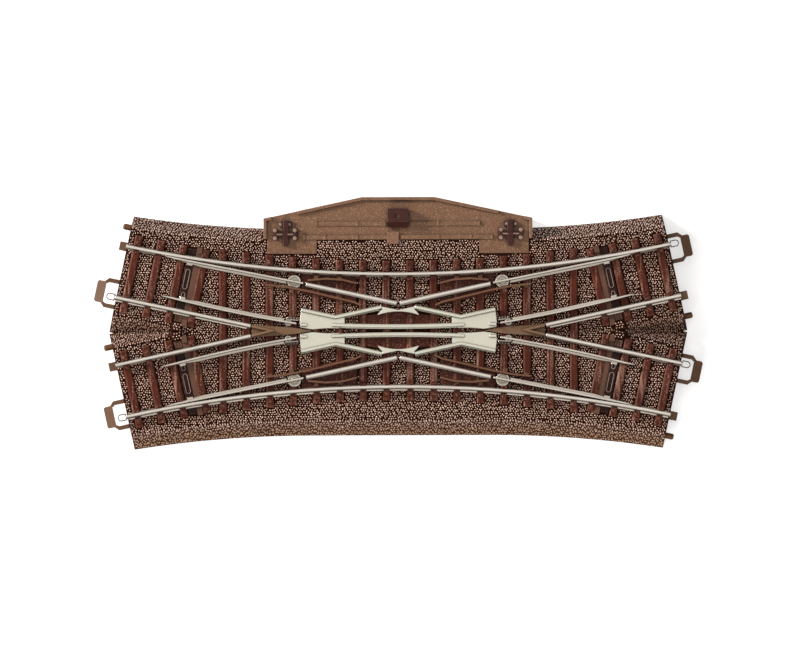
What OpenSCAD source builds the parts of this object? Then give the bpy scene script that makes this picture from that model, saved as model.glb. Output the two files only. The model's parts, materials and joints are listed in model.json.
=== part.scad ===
// Double slip turnout for a two-rail model railway, on a moulded ballast roadbed.
// Units are millimetres, +Z is up and the tracks run along X.
// The origin is the crossing centre on the plane the roadbed stands on.
// The pose drawn is both straight tracks set; sliding the hand knob away from the track sets both slips.

/* [Track geometry] */
// length of each straight track, end to end
track_len = 188.3; // [184:0.1:196]
// angle at which the two straight tracks cross
cross_angle = 24.3; // [24:0.1:24.6]
// radius of the slip curves, on the track centre line
slip_r = 437.3; // [430:0.1:450]
// distance between the running edges of the two rails
gauge = 16.5; // [16.3:0.1:16.8]

/* [Rail] */
// height of the rail above the sleeper
rail_h = 2.3; // [2.1:0.05:2.6]
// width of the rail head
head_w = 0.9; // [0.8:0.05:1]
// height of the rail head
head_h = 0.75; // [0.6:0.05:0.9]
// width of the rail foot
foot_w = 1.6; // [1.4:0.05:1.7]
// thickness of the rail foot
foot_h = 0.4; // [0.3:0.05:0.45]
// thickness of the rail web
web_w = 0.45; // [0.35:0.05:0.6]

/* [Roadbed] */
// height of the ballast top
bed_h = 7; // [6.8:0.1:8]
// thickness of the deck under the ballast top
deck_t = 1.8; // [1.6:0.1:2]
// horizontal thickness of the skirt walls
wall_t = 1.4; // [1.2:0.1:1.8]
// half width of the roadbed base at each track end
bed_half = 19.2; // [18.8:0.1:19.6]
// horizontal run of the ballast shoulder
shoulder_run = 4.4; // [4:0.1:4.8]
// half width of the roadbed base at each track end, on the side of the valley
valley_half = 19.9; // [19.4:0.1:20]
// horizontal run of the valley slopes
valley_run = 5.3; // [5:0.1:5.6]
// half width of the roadbed base in the middle
mid_half = 34.3; // [33.8:0.1:34.4]
// half length of the straight middle edge
mid_straight = 30; // [26:0.5:34]
// radius of the edge that sweeps out to the track ends
flare_r = 374; // [340:1:410]
// distance by which the roadbed ends short of the rail ends
bed_short = 0.3; // [0.1:0.05:0.5]
// thickness of the ribs under the deck
rib_t = 1.2; // [0.9:0.1:1.6]
// distance of the ribs from the crossing centre, along X
rib_x = 31; // [30:0.5:33]
// distance of the inner end of the ribs from the axis
rib_y = 8; // [7.6:0.1:9]
// length of each rib
rib_len = 21.6; // [18:0.2:21.6]

/* [Sleepers] */
// height of the sleepers above the ballast top
sleeper_h = 1; // [0.8:0.05:1.2]
// width of each sleeper
sleeper_w = 2.5; // [2.2:0.1:2.6]
// spacing of the long timbers under the crossing
timber_pitch = 7.75; // [7.6:0.05:7.8]
// distance by which a timber runs past the outer rail
timber_over = 4.5; // [3.8:0.1:4.6]
// distance of the last track sleeper from the rail end
sleeper_end = 3.55; // [3:0.05:4.5]
// spacing of the track sleepers
sleeper_pitch = 7.6; // [7.5:0.05:7.7]
// half length of the track sleepers
sleeper_half = 13.1; // [12.8:0.1:13.4]

/* [Points] */
// sideways travel of each throw bar
throw_d = 2.5; // [2.2:0.05:2.6]
// distance of the throw bars from the rail ends
bar_end = 21.85; // [21.7:0.05:21.9]
// width of each throw bar
bar_w = 2.7; // [2.4:0.1:2.8]
// thickness of each throw bar
bar_t = 1.7; // [1.4:0.1:1.75]
// reach of each throw bar toward the outer rail side
bar_out = 12.5; // [12.2:0.1:12.8]
// reach of each throw bar toward the axis of the turnout
bar_in = 12.3; // [12.2:0.05:12.4]
// offset of the drive pin on the throw bar from the track centre
pin_w = 8.7; // [8.6:0.02:8.74]
// radius of the drive pin
pin_r = 0.85; // [0.7:0.05:0.9]
// height of the guide strips beside the throw bars
guide_h = 0.7; // [0.5:0.05:0.8]
// half length of the raised ends of the guide strips
guide_end = 1.1; // [0.9:0.05:1.2]
// distance of the outer blade pivot from the crossing centre, along the track
outer_heel_s = 37.2; // [37:0.1:37.5]
// distance of the inner blade pivot from the crossing centre, along X
inner_heel_x = 36.5; // [36.2:0.1:36.8]
// distance of the outer blade tip from the rail end, along the track
outer_tip_end = 13.55; // [13:0.05:15]
// distance of the inner blade tip from the rail end
inner_tip_end = 15.15; // [14.8:0.05:16]
// length of each blade behind its pivot
blade_tail = 3.1; // [2.7:0.1:3.2]
// width of the blade
blade_w = 0.6; // [0.5:0.05:0.7]
// reach of the blade foot from the middle of the blade
blade_foot = 1.15; // [0.9:0.05:1.2]
// length over which the blade tip is sharpened
taper_len = 13; // [9:0.5:15]
// radius of the heel rivet
rivet_r = 0.55; // [0.45:0.05:0.6]
// radius of the washer under the outer heel
outer_washer_r = 2.2; // [1.8:0.1:2.3]
// radius of the washer under the inner heel
inner_washer_r = 1.25; // [1.1:0.05:1.3]
// thickness of the heel washers
washer_t = 0.4; // [0.3:0.05:0.4]
// width of the raised ring on the washer under the outer heel
ring_w = 0.5; // [0.45:0.05:0.6]
// depth of the heel rivets below the sleeper tops
rivet_depth = 2.4; // [2.2:0.1:2.6]
// radius of the eye on the blade heel
eye_r = 1; // [0.9:0.05:1.1]
// radius of the blade lug pin
lug_r = 0.45; // [0.35:0.05:0.5]
// sideways offset of the lug from the blade
lug_off = 0.75; // [0.7:0.05:0.85]

/* [Crossing] */
// level of the flange pads below the rail top
pad_drop = 1.2; // [1:0.05:1.4]
// inner end of the flange pads
pad_x0 = 17.8; // [17:0.1:18.4]
// outer end of the flange pads
pad_x1 = 32.5; // [32:0.1:32.6]
// length of the rail stub at the outer end of the flange pad
stub_len = 1.9; // [1.5:0.1:2.4]
// distance of the rail stub from the axis
stub_y = 1.95; // [1.8:0.05:2.1]
// level of the rail stub below the rail top
stub_drop = 0.35; // [0.2:0.05:0.6]
// half length of the raised slip rail on the casting
slip_rail_x = 22; // [21:0.1:23]
// bend of the wing rail
wing_bend_x = 20.8; // [20.4:0.1:21.2]
// half length of the elbow piece
elbow_x = 6.8; // [6.5:0.05:7]
// end of the closure rail next to the obtuse crossing, along the track
closure_s0 = 2.35; // [2.3:0.05:2.6]
// end of the closure rail next to the blade heel, along the track
closure_s1 = 33.2; // [32.8:0.1:33.5]
// end of the inner stock rail next to the frog, along the track
inner_rail_s0 = 48.2; // [48:0.1:48.6]
// tip of the frog wedge
frog_tip_x = 28.8; // [28.4:0.1:29.4]
// half width of the frog plate at its wide end
frog_half = 2.2; // [2:0.1:2.3]
// thickness of the frog plate
frog_t = 0.7; // [0.5:0.05:0.8]
// thickness of the check rails
check_w = 0.6; // [0.5:0.05:0.65]
// distance of the check rails from the rail beside them, middle to middle
check_gap = 2.15; // [2.1:0.05:2.3]
// height of the check rails above the sleepers
check_h = 2; // [1.8:0.05:2.1]

/* [Track couplings] */
// reach of the coupling loop beyond the rail end
loop_len = 6.9; // [6.6:0.1:7.4]
// length of the outer bar of the loop
loop_bar = 7.2; // [6.8:0.1:7.6]
// width of the outer bar of the loop
loop_bar_w = 3; // [2.6:0.1:3.2]
// fall of the outer bar of the loop toward its edge
loop_fall = 1.3; // [0.8:0.1:1.6]
// overall width of the loop at its root
loop_w = 9.8; // [9.4:0.1:10]
// sideways position of the loop from the track centre
loop_y = 7.4; // [7.2:0.1:7.6]
// thickness of the loop arms
loop_arm = 1.3; // [1.1:0.1:1.4]
// thickness of the loop, up and down
loop_t = 2.4; // [2:0.1:2.6]
// width of the coupling tongue
tongue_w = 2.8; // [2.4:0.1:3]
// reach of the coupling tongue beyond the rail end
tongue_len = 2.2; // [1.8:0.1:2.5]
// thickness of the coupling tongue
tongue_t = 2.2; // [1.8:0.1:2.4]
// radius of the locating peg
peg_r = 1; // [0.85:0.05:1.05]
// reach of the locating peg beyond the rail end
peg_len = 1.9; // [1.6:0.1:2.1]
// sideways position of the locating peg and its socket from the track centre
peg_y = 15.4; // [15:0.1:15.5]
// height of the locating peg above the base
peg_z = 2.8; // [2.6:0.1:3]
// depth of the locating socket
socket_d = 3; // [2.6:0.1:3.4]
// wall of the lug around the locating socket
socket_wall = 0.7; // [0.6:0.05:0.75]
// radial clearance of the locating peg in its socket
socket_clear = 0.1; // [0.08:0.01:0.14]
// strip thickness of the joiner spring
spring_t = 0.3; // [0.25:0.05:0.35]
// reach of the joiner spring beyond the rail end
spring_len = 3; // [2.6:0.1:3.2]

/* [Mechanism cover] */
// level of the cover top
cover_z = 7.4; // [7.3:0.05:7.6]
// thickness of the cover plate
cover_t = 1.1; // [1:0.05:1.15]
// half width of the cover
cover_half = 44.6; // [44.2:0.1:45]
// distance of the rear edge from the turnout axis
cover_back = 44.4; // [44.2:0.1:45]
// distance of the side corners from the turnout axis
cover_side_y = 37.4; // [37:0.1:37.8]
// half length of the straight rear edge
cover_back_half = 12; // [11:0.5:13]
// distance of the front edge from the turnout axis
cover_front = 30.3; // [30.2:0.05:30.5]
// distance of the front edge of the two ears from the turnout axis
ear_front = 25.7; // [25.6:0.05:26]
// width of the ears
ear_w = 16.4; // [15.6:0.1:17]
// step of the ears from the cover ends
ear_in = 1.2; // [1.1:0.1:1.6]
// distance of the front edge of the cover ends from the turnout axis
end_front = 30.6; // [30.4:0.1:31]
// distance at which the raised rear rim stops short of the cover ends
rim_in = 11.1; // [10:0.1:12]
// height of the raised rim
rim_h = 0.9; // [0.6:0.1:1.1]
// width of the raised rim
rim_w = 1; // [0.8:0.05:1.1]
// height of the moulded cable ducts
duct_h = 0.35; // [0.25:0.05:0.45]
// width of the moulded cable ducts
duct_w = 1.3; // [1:0.1:1.4]
// thickness of the cover walls
skirt_t = 1.3; // [1.1:0.1:1.5]
// width of the latch tab on the front edge
tab_w = 4; // [3:0.2:5]
// half length of the lantern foot, across
cap_half = 4; // [3.7:0.1:4.2]
// height of the lantern foot
cap_h = 1.1; // [0.8:0.1:1.4]
// distance of the lantern feet from the cover ends
cap_in = 7.4; // [7.2:0.1:7.8]
// position of the lantern feet, along Y
cap_y = 31.8; // [31.6:0.1:32]

/* [Hand knob] */
// travel of the hand knob
knob_d = 2.5; // [2.3:0.05:2.55]
// width of the hand knob
knob_w = 6.9; // [6.4:0.1:7.4]
// front edge of the hand knob at its foot
knob_y0 = 34.3; // [34.2:0.1:34.6]
// rear edge of the hand knob
knob_y1 = 40.5; // [40.2:0.1:40.5]
// run of the sloping front of the hand knob
knob_slope = 1.7; // [1.3:0.1:2]
// height of the hand knob above the cover
knob_h = 3.4; // [2.6:0.1:4]
// width of the stem through the cover
stem_w = 2.8; // [2.4:0.1:3]
// length of the stem through the cover
stem_l = 0.9; // [0.8:0.05:0.95]

/* [Linkage] */
// travel of the drive slide
slide_d = 3; // [2.8:0.05:3.1]
// thickness of the drive slide
slide_t = 1.4; // [1.2:0.1:1.5]
// level of the underside of the drive slide
slide_z = 1.2; // [1.15:0.05:1.3]
// width of the drive slide bar
slide_w = 6; // [5:0.2:7]
// length of the crank arm to the hand knob
crank_r1 = 14; // [13:0.1:15]
// thickness of the crank
crank_t = 1.4; // [1.2:0.1:1.4]
// level of the underside of the crank
crank_z = 3.2; // [3.1:0.05:3.25]
// width of the crank arms
crank_w = 4.4; // [4.2:0.1:5]
// radius of the crank hub
hub_r = 3; // [2.7:0.1:3.4]
// radius of the crank pivot stud
stud_r = 1.25; // [1.1:0.05:1.35]
// radius of the pins that work in the crank slots
crank_pin_r = 1; // [0.9:0.05:1.05]
// thickness of the keeper plates
keeper_t = 1; // [0.9:0.05:1.05]
// width of the keeper plates
keeper_w = 7; // [6:0.2:8]
// distance of the outer keeper plates from the crossing centre
keeper_x = 60; // [57:0.5:60]
// distance of the outer keeper screws from the axis
keeper_y = 8; // [7.8:0.1:8.4]
// distance of the middle keeper screws from the axis
keeper_mid_y = 9; // [8.6:0.1:9.2]
// radius of the keeper screws
screw_r = 0.8; // [0.7:0.05:0.9]
// radius of the screw heads
screw_head_r = 1.5; // [1.3:0.1:1.6]

/* [Fits] */
// radial clearance of turning parts
turn_clear = 0.06; // [0.05:0.01:0.09]
// side clearance of sliding parts
slide_clear = 0.1; // [0.08:0.01:0.12]
// gap between a closed blade and the rail it lies against
close_gap = 0.12; // [0.1:0.01:0.16]

/* [Hidden] */
$fa = 1;
$fs = 0.15;
half_a = cross_angle / 2;
half_len = track_len / 2;
arc_cy = slip_r / cos(half_a);
rail_off = (gauge + head_w) / 2;
seat_z = bed_h + sleeper_h;
top_z = seat_z + rail_h;
deck_z = bed_h - deck_t;
stock_r = slip_r - rail_off;
inner_r = slip_r + rail_off;
bed_end = half_len - bed_short;
eps = 0.01;
slot_step = 0.005;
over = 1;
flare_turn = 14;
bed_reach = half_len * cos(half_a) + bed_half * sin(half_a) + over;
bed_side = half_len * sin(half_a) + bed_half + over;
arc_fn = 1440;
bar_s = half_len - bar_end;
sleeper_count = 4;
sleeper_s = [for (i = [0:sleeper_count - 1]) half_len - sleeper_end - i * sleeper_pitch];

function turn(p, a) = [p.x * cos(a) - p.y * sin(a), p.x * sin(a) + p.y * cos(a)];
function trk(s, w) = turn([s, w], half_a);
function arc_y(r, x) = arc_cy - sqrt(r * r - x * x);
function lane_s(p) = turn(p, -half_a).x;
function lane_w(p) = turn(p, -half_a).y;
function slope_at(run, z) = run * z / bed_h;
function beta(r, x) = asin(x / r);
function unit(v) = v / norm(v);
function side_of(p, i) = turn(unit(p[i + 1] - p[i]), 90);
function mitre(a, b) = (a + b) / (1 + a * b);
function edge_of(p, i) =
    i == 0 ? side_of(p, 0) :
    i == len(p) - 1 ? side_of(p, i - 1) :
    mitre(side_of(p, i - 1), side_of(p, i));
// Outline of a strip of width w along a run of points, with mitred bends.
function strip(p, w) = concat(
    [for (i = [0:len(p) - 1]) p[i] + edge_of(p, i) * w / 2],
    [for (i = [len(p) - 1:-1:0]) p[i] - edge_of(p, i) * w / 2]
);

// Quadrants: name, side along X, side along Y. Every quadrant piece is drawn for the back right one.
QUADS = [["back_right", 1, 1], ["back_left", -1, 1], ["front_right", 1, -1], ["front_left", -1, -1]];
END_TURNS = [half_a, 180 - half_a, -half_a, 180 + half_a];

// Blade geometry in the track lane: s along the track, w across it.
blade_z = seat_z + foot_h + 0.1;
foot_z = seat_z + 0.05;
outer_pivot = trk(outer_heel_s, rail_off);
outer_tip_s = half_len - outer_tip_end;
outer_len = outer_tip_s - outer_heel_s;
inner_tip_x = half_len - inner_tip_end;
outer_tip_stock = rail_off + pow(half_len - outer_tip_s, 2) / (2 * slip_r);
outer_tip_w = outer_tip_stock - head_w / 2 - blade_w / 2 - close_gap;
outer_rest = -asin((rail_off - outer_tip_w) / outer_len);
outer_arm = bar_s - outer_heel_s;
outer_swing = asin(throw_d / outer_arm + sin(-outer_rest)) + outer_rest;
inner_pivot = [inner_heel_x, arc_y(inner_r, inner_heel_x)];
inner_tip = [inner_tip_x, arc_y(inner_r, inner_tip_x)];
inner_tip_w = -rail_off + head_w / 2 + blade_w / 2 + close_gap;
inner_reach = norm(inner_tip - inner_pivot);
inner_close = asin((inner_tip_w - lane_w(inner_tip)) / inner_reach);
inner_arm = bar_s - lane_s(inner_pivot);
inner_swing = asin(throw_d / inner_arm);
inner_rest = inner_close + inner_swing;
inner_lug_x = bar_s * cos(half_a) + rail_off * sin(half_a) - 0.25;
inner_lug_free = [inner_lug_x, arc_y(inner_r, inner_lug_x)];
inner_lug_turn = beta(inner_r, inner_lug_x);
inner_lug_ref = inner_lug_free + turn([0, lug_off], inner_lug_turn);
inner_lug = inner_pivot + turn(inner_lug_ref - inner_pivot, inner_rest);
outer_lug_d = outer_arm / cos(outer_rest);
outer_lug = outer_pivot + turn([outer_lug_d, -lug_off], half_a + outer_rest);

// Throw bar levels and the drive pin path.
bar_floor = bed_h - 1.1;
bar_z = bar_floor + slide_clear;
bar_in_end = bar_in + throw_d + slide_clear;
pin_rest = trk(bar_s, -pin_w);
pin_thrown = trk(bar_s, -pin_w - throw_d);
cam_x1 = abs(pin_thrown.x) + slide_d + pin_r + slide_clear + 0.9;
cam_y1 = pin_rest.y + pin_r + slide_clear + 1.1;
cam_x0 = pin_thrown.x - slide_d - pin_r - slide_clear - 1.2;

// Crank: the arm to the knob lies along X and the arm to the slide along Y at half travel.
crank_half = asin(knob_d / 2 / crank_r1);
crank_r2 = slide_d / 2 / sin(crank_half);
knob_y = (knob_y0 + knob_y1) / 2;
crank_c = [-crank_r1, knob_y + knob_d / 2];
drive_pin = [-crank_r1 - slide_d / 2, crank_c.y - crank_r2 * (1 + cos(crank_half)) / 2];
slide_top = slide_z + slide_t;
crank_top = crank_z + crank_t;
cover_under = cover_z - cover_t;
carriage_t = 1;
carriage_half = 4;
guide_t = 1.1;
ear_x1 = cover_half - ear_in;
ear_x0 = ear_x1 - ear_w;
cap_x = cover_half - cap_in;
seat_y0 = ear_front - 1.7;
seat_y1 = cover_front + 1.9;
room_y = cover_front - 2.1;
carriage_top = cover_under - slide_clear;
KEEPERS = [["keeper_center", 0, keeper_mid_y], ["keeper_left", -keeper_x, keeper_y], ["keeper_right", keeper_x, keeper_y]];
boss_r = screw_r + 1.2;
timber_room = sleeper_s[sleeper_count - 1] * cos(half_a) - 1.5 * sleeper_w;
timber_count = floor(timber_room / timber_pitch - 0.51) + 1;
// Check rails: distance along the rail and how far the bend stands off from the check gap.
check_long = [[13.8, 0.95], [16.2, 0.4], [32, 0], [40.2, 0.15], [46.4, 0.85]];
check_short = [[13.8, 1.1], [18.5, 0.1], [24, 0], [30, 0.9]];
foot_l = 1.4;
function timber_x(i) = timber_pitch * (i + 0.51);
rail_pts = [
    [-foot_w / 2, 0], [foot_w / 2, 0], [foot_w / 2, foot_h], [web_w / 2, foot_h + 0.1],
    [web_w / 2, rail_h - head_h - 0.1], [head_w / 2, rail_h - head_h], [head_w / 2, rail_h],
    [-head_w / 2, rail_h], [-head_w / 2, rail_h - head_h], [-web_w / 2, rail_h - head_h - 0.1],
    [-web_w / 2, foot_h + 0.1], [-foot_w / 2, foot_h]
];
// The blade section: a narrow web and head, with a foot on the gauge side only.
blade_pts = [
    [-blade_foot, foot_z], [-0.15, foot_z], [-0.15, blade_z], [blade_w / 2, blade_z],
    [blade_w / 2, top_z], [-blade_w / 2, top_z], [-blade_w / 2, blade_z - 0.05], [-blade_foot, blade_z - 0.15]
];
cover_pts = [
    [-cover_half, end_front], [-cover_half, cover_side_y], [-cover_back_half, cover_back],
    [cover_back_half, cover_back], [cover_half, cover_side_y], [cover_half, end_front],
    [ear_x1, end_front], [ear_x1, ear_front], [ear_x0, ear_front], [ear_x0, cover_front],
    [-ear_x0, cover_front], [-ear_x0, ear_front], [-ear_x1, ear_front], [-ear_x1, end_front]
];

// Node names, quadrant pieces last.

module quad(q) {
    mirror([q[1] < 0 ? 1 : 0, 0, 0])
        mirror([0, q[2] < 0 ? 1 : 0, 0])
            children();
}

module each_quad() {
    for (q = QUADS)
        quad(q) children();
}

module each_end() {
    for (a = END_TURNS)
        rotate([0, 0, a])
            translate([half_len, 0, 0])
                children();
}

// A bar along +X whose section is drawn in Y and Z.
module bar_along(length) {
    rotate([90, 0, 90])
        linear_extrude(length)
            children();
}

module rod(r, z0, z1) {
    translate([0, 0, z0])
        cylinder(r = r, h = z1 - z0);
}

module block(x0, x1, y0, y1, z0, z1) {
    translate([x0, y0, z0])
        cube([x1 - x0, y1 - y0, z1 - z0]);
}

// A straight slot from a to b, as wide as two radii. Its flats lie a hair inside the round ends.
module slot(a, b, r, z0, z1) {
    d = b - a;
    flat = r - slot_step;
    for (p = [a, b])
        translate(p) rod(r, z0, z1);
    translate(a)
        rotate([0, 0, atan2(d.y, d.x)])
            block(0, norm(d), -flat, flat, z0, z1);
}

module straight_rail(s0, s1, w) {
    rotate([0, 0, half_a])
        translate([s0, w, seat_z])
            bar_along(s1 - s0)
                polygon(rail_pts);
}

module arc_rail(r, x0, x1) {
    translate([0, arc_cy, seat_z])
        rotate([0, 0, beta(r, x0) - 90])
            rotate_extrude(angle = beta(r, x1) - beta(r, x0), $fn = arc_fn)
                translate([r, 0])
                    polygon(rail_pts);
}

// Section beyond a sloping edge of the roadbed, in steps from that edge, from below z0 to above z1.
function past_edge(inset, z0, z1, run, reach) = [
    [-reach, z0 - over], [inset + slope_at(run, z0 - over), z0 - over],
    [inset + slope_at(run, z1 + over), z1 + over], [-reach, z1 + over]
];

// The outside of one long edge: straight in the middle, sweeping out to both track ends.
module past_long_edge(inset, z0, z1) {
    beyond = past_edge(inset, z0, z1, shoulder_run, bed_half);
    translate([-mid_straight - eps, mid_half, 0])
        bar_along(2 * mid_straight + 2 * eps)
            mirror([1, 0])
                polygon(beyond);
    for (n = [0, 1])
        mirror([n, 0, 0])
            translate([mid_straight, mid_half + flare_r, 0])
                rotate([0, 0, -90])
                    rotate_extrude(angle = flare_turn, $fn = arc_fn)
                        translate([flare_r, 0])
                            polygon(beyond);
}

// The valley between the two arms at the right end.
module valley(inset, z0, z1) {
    intersection_for(m = [0, 1])
        mirror([0, m, 0])
            rotate([0, 0, half_a])
                translate([0, -valley_half, 0])
                    bar_along(track_len)
                        polygon(past_edge(inset, z0, z1, valley_run, 2 * bed_half));
}

// One solid of the roadbed: both arms and both flared edges, drawn in by inset, from z0 to z1.
module bed_solid(inset, z0, z1) {
    last = bed_end - inset;
    difference() {
        block(-bed_reach, bed_reach, -bed_side, bed_side, z0, z1);
        for (m = [0, 1])
            mirror([0, m, 0])
                past_long_edge(inset, z0, z1);
        for (m = [0, 1])
            mirror([m, 0, 0])
                valley(inset, z0, z1);
        for (a = END_TURNS)
            rotate([0, 0, a])
                block(last, last + half_len, -half_len, half_len, z0 - over, z1 + over);
    }
}

// Path of the throw bar channel and of the pin slot in its floor, for the back right quadrant.
module bar_channel() {
    rotate([0, 0, half_a])
        block(bar_s - bar_w / 2 - slide_clear, bar_s + bar_w / 2 + slide_clear,
            -bar_in_end, bar_out + slide_clear, bar_floor, bed_h + 1);
    slot(pin_rest, pin_thrown, pin_r + 2 * slide_clear, -1, bar_floor + eps);
}

module roadbed() {
    color([0.45, 0.36, 0.28])
        difference() {
            union() {
                difference() {
                    bed_solid(0, 0, bed_h);
                    bed_solid(wall_t, -1, deck_z);
                    // room for the slide's cam plates between the arms
                    for (m = [0, 1])
                        mirror([m, 0, 0])
                            block(keeper_x, cam_x1 + 0.4, -cam_y1 - 0.5, cam_y1 + 0.5, -1, slide_top + 0.2);
                }
                // flat seat that carries the front edge of the cover
                block(-cover_half - slide_clear, cover_half + slide_clear, seat_y0, seat_y1, deck_z, bed_h);
                // cross ribs under the deck
                for (x = [-rib_x, rib_x])
                    for (y = [-rib_y - rib_len, rib_y])
                        block(x - rib_t / 2, x + rib_t / 2, y, y + rib_len, keeper_t, deck_z + eps);
                // guide ribs and screw bosses over the drive slide
                for (k = KEEPERS) {
                    block(k[1] - rib_t / 2, k[1] + rib_t / 2, -k[2], k[2], slide_top + slide_clear, deck_z + eps);
                    for (y = [-k[2], k[2]])
                        translate([k[1], y, 0])
                            rod(boss_r, keeper_t, deck_z + eps);
                }
                // locating pegs and the lugs that hold their sockets
                each_end() {
                    translate([-bed_short - 1, -peg_y, peg_z])
                        rotate([0, 90, 0])
                            cylinder(r = peg_r, h = peg_len + bed_short + 1);
                    translate([-bed_short - socket_d - 1, peg_y, peg_z])
                        rotate([0, 90, 0])
                            cylinder(r = peg_r + socket_wall, h = socket_d + 1 - eps);
                }
            }
            // room for the cover walls and the linkage behind the deck
            block(-cover_half - slide_clear, cover_half + slide_clear, room_y, bed_side + over, -1, deck_z);
            block(-cover_half - slide_clear, cover_half + slide_clear, seat_y1 - 0.2, bed_side + over, -1, bed_h + 1);
            translate([0, 0, cover_under])
                linear_extrude(2)
                    offset_cover();
            each_quad() {
                bar_channel();
                translate(outer_pivot) rod(rivet_r + turn_clear, seat_z - rivet_depth, bed_h + 1);
                translate(inner_pivot) rod(rivet_r + turn_clear, seat_z - rivet_depth, bed_h + 1);
            }
            for (k = KEEPERS)
                for (y = [-k[2], k[2]])
                    translate([k[1], y, 0])
                        rod(screw_r, -1, deck_z - 0.4);
            each_end()
                translate([-bed_short - socket_d, peg_y, peg_z])
                    rotate([0, 90, 0])
                        cylinder(r = peg_r + socket_clear, h = socket_d + 1);
        }
}

// The cover outline grown by the fit clearance, drawn as the union of shifted copies.
module offset_cover() {
    for (x = [-slide_clear, slide_clear])
        translate([x, -slide_clear])
            polygon(cover_pts);
    polygon(cover_pts);
}

module sleepers() {
    color([0.25, 0.16, 0.13])
        difference() {
            union() {
                each_quad()
                    rotate([0, 0, half_a])
                        for (s = sleeper_s)
                            block(s - sleeper_w / 2, s + sleeper_w / 2, -sleeper_half, sleeper_half, bed_h, seat_z);
                for (side = [-1, 1])
                    for (i = [0:timber_count - 1]) {
                        x = side * timber_x(i);
                        y = arc_y(stock_r, abs(x)) + timber_over;
                        block(x - sleeper_w / 2, x + sleeper_w / 2, -y, y, bed_h, seat_z);
                    }
            }
            each_quad() {
                translate(outer_pivot) rod(rivet_r + turn_clear, bed_h - 1, seat_z + 1);
                translate(inner_pivot) rod(rivet_r + turn_clear, bed_h - 1, seat_z + 1);
            }
        }
}

module stock_rail() {
    color([0.75, 0.72, 0.66])
        arc_rail(stock_r, -half_len * cos(half_a) + rail_off * sin(half_a), half_len * cos(half_a) - rail_off * sin(half_a));
}

module inner_rail() {
    color([0.75, 0.72, 0.66])
        straight_rail(inner_rail_s0, half_len, -rail_off);
}

module closure_rail() {
    color([0.75, 0.72, 0.66])
        straight_rail(closure_s0, closure_s1, rail_off);
}

// One half of the crossing casting: flange pad, wing rail and half of the elbow.
module casting_half() {
    pad_z = top_z - pad_drop;
    line_y = function(x) (rail_off - x * sin(half_a)) / cos(half_a);
    bend = [wing_bend_x, line_y(wing_bend_x)];
    wing_end = bend + turn([(pad_x1 - wing_bend_x - 0.3) / cos(half_a), 0], half_a);
    linear_start = [elbow_x - 1.3, line_y(elbow_x - 1.3)];
    // flange pad
    translate([0, 0, seat_z])
        linear_extrude(pad_z - seat_z)
            polygon([
                [pad_x0, 2.2], [pad_x0 + 2, 0.75], [pad_x0 + 6, 0.85], [pad_x1 - 4, 0.45], [pad_x1, 1.1],
                [pad_x1 + 0.2, 3], [wing_end.x, wing_end.y], [bend.x, bend.y], [pad_x0, line_y(pad_x0)]
            ]);
    // rail stub that meets the heel of the inner blade
    translate([pad_x1 - stub_len, stub_y, 0])
        rod(head_w / 2, pad_z - eps, top_z - stub_drop);
    block(pad_x1 - stub_len, pad_x1 + 0.05, stub_y - head_w / 2 + slot_step, stub_y + head_w / 2 - slot_step,
        pad_z - eps, top_z - stub_drop);
    // running rail from the elbow to the bend, then the wing rail
    run = [linear_start, bend, wing_end];
    translate([0, 0, seat_z + foot_h / 2])
        linear_extrude(rail_h - foot_h / 2)
            polygon(strip(run, head_w));
    translate([0, 0, seat_z])
        linear_extrude(foot_h)
            polygon(strip(run, foot_w));
}

module crossing() {
    foot_y = (rail_off - head_w / 2) / cos(half_a) - 1.7;
    tip_y = foot_y + elbow_x * 0.8 * tan(half_a);
    low_r = 20;
    low_c = 6.25 - low_r;
    color([0.86, 0.84, 0.8]) {
        casting_half();
        mirror([1, 0, 0]) casting_half();
        arc_rail(inner_r, -slip_rail_x, slip_rail_x);
        // elbow piece of the obtuse crossing
        translate([0, 0, seat_z])
            linear_extrude(rail_h)
                difference() {
                    polygon([
                        [0, foot_y], [elbow_x * 0.8, tip_y], [elbow_x * 0.78, tip_y - 0.9],
                        [elbow_x * 0.9, tip_y - 1.7], [elbow_x, tip_y - 2.6], [elbow_x - 0.2, 4.9],
                        [-elbow_x + 0.2, 4.9], [-elbow_x, tip_y - 2.6], [-elbow_x * 0.9, tip_y - 1.7],
                        [-elbow_x * 0.78, tip_y - 0.9], [-elbow_x * 0.8, tip_y]
                    ]);
                    translate([0, low_c])
                        circle(r = low_r);
                }
    }
}

// Plastic frog: a flat wedge with two raised noses that meet at the acute crossing.
module frog() {
    join_x = rail_off / sin(half_a);
    nose_x = inner_rail_s0 * cos(half_a) + rail_off * sin(half_a) - 0.35;
    color([0.72, 0.62, 0.48]) {
        translate([0, 0, seat_z])
            linear_extrude(frog_t)
                polygon([
                    [frog_tip_x, 0.1], [inner_heel_x - 1.5, frog_half / 2], [join_x + 0.9, frog_half * 0.73],
                    [nose_x, frog_half], [nose_x, -frog_half], [join_x + 0.9, -frog_half * 0.73],
                    [inner_heel_x - 1.5, -frog_half / 2], [frog_tip_x, -0.1]
                ]);
        for (m = [0, 1])
            mirror([0, m, 0])
                translate([0, 0, seat_z])
                    linear_extrude(rail_h)
                        polygon([
                            [join_x - 0.6, 0], [nose_x, (nose_x - join_x) * tan(half_a) + 0.42],
                            [nose_x, (nose_x - join_x) * tan(half_a) - 0.42], [join_x + 2.1, 0]
                        ]);
    }
}

module check_run(points) {
    translate([0, 0, seat_z])
        linear_extrude(check_h)
            polygon(strip(points, check_w));
}

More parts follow.
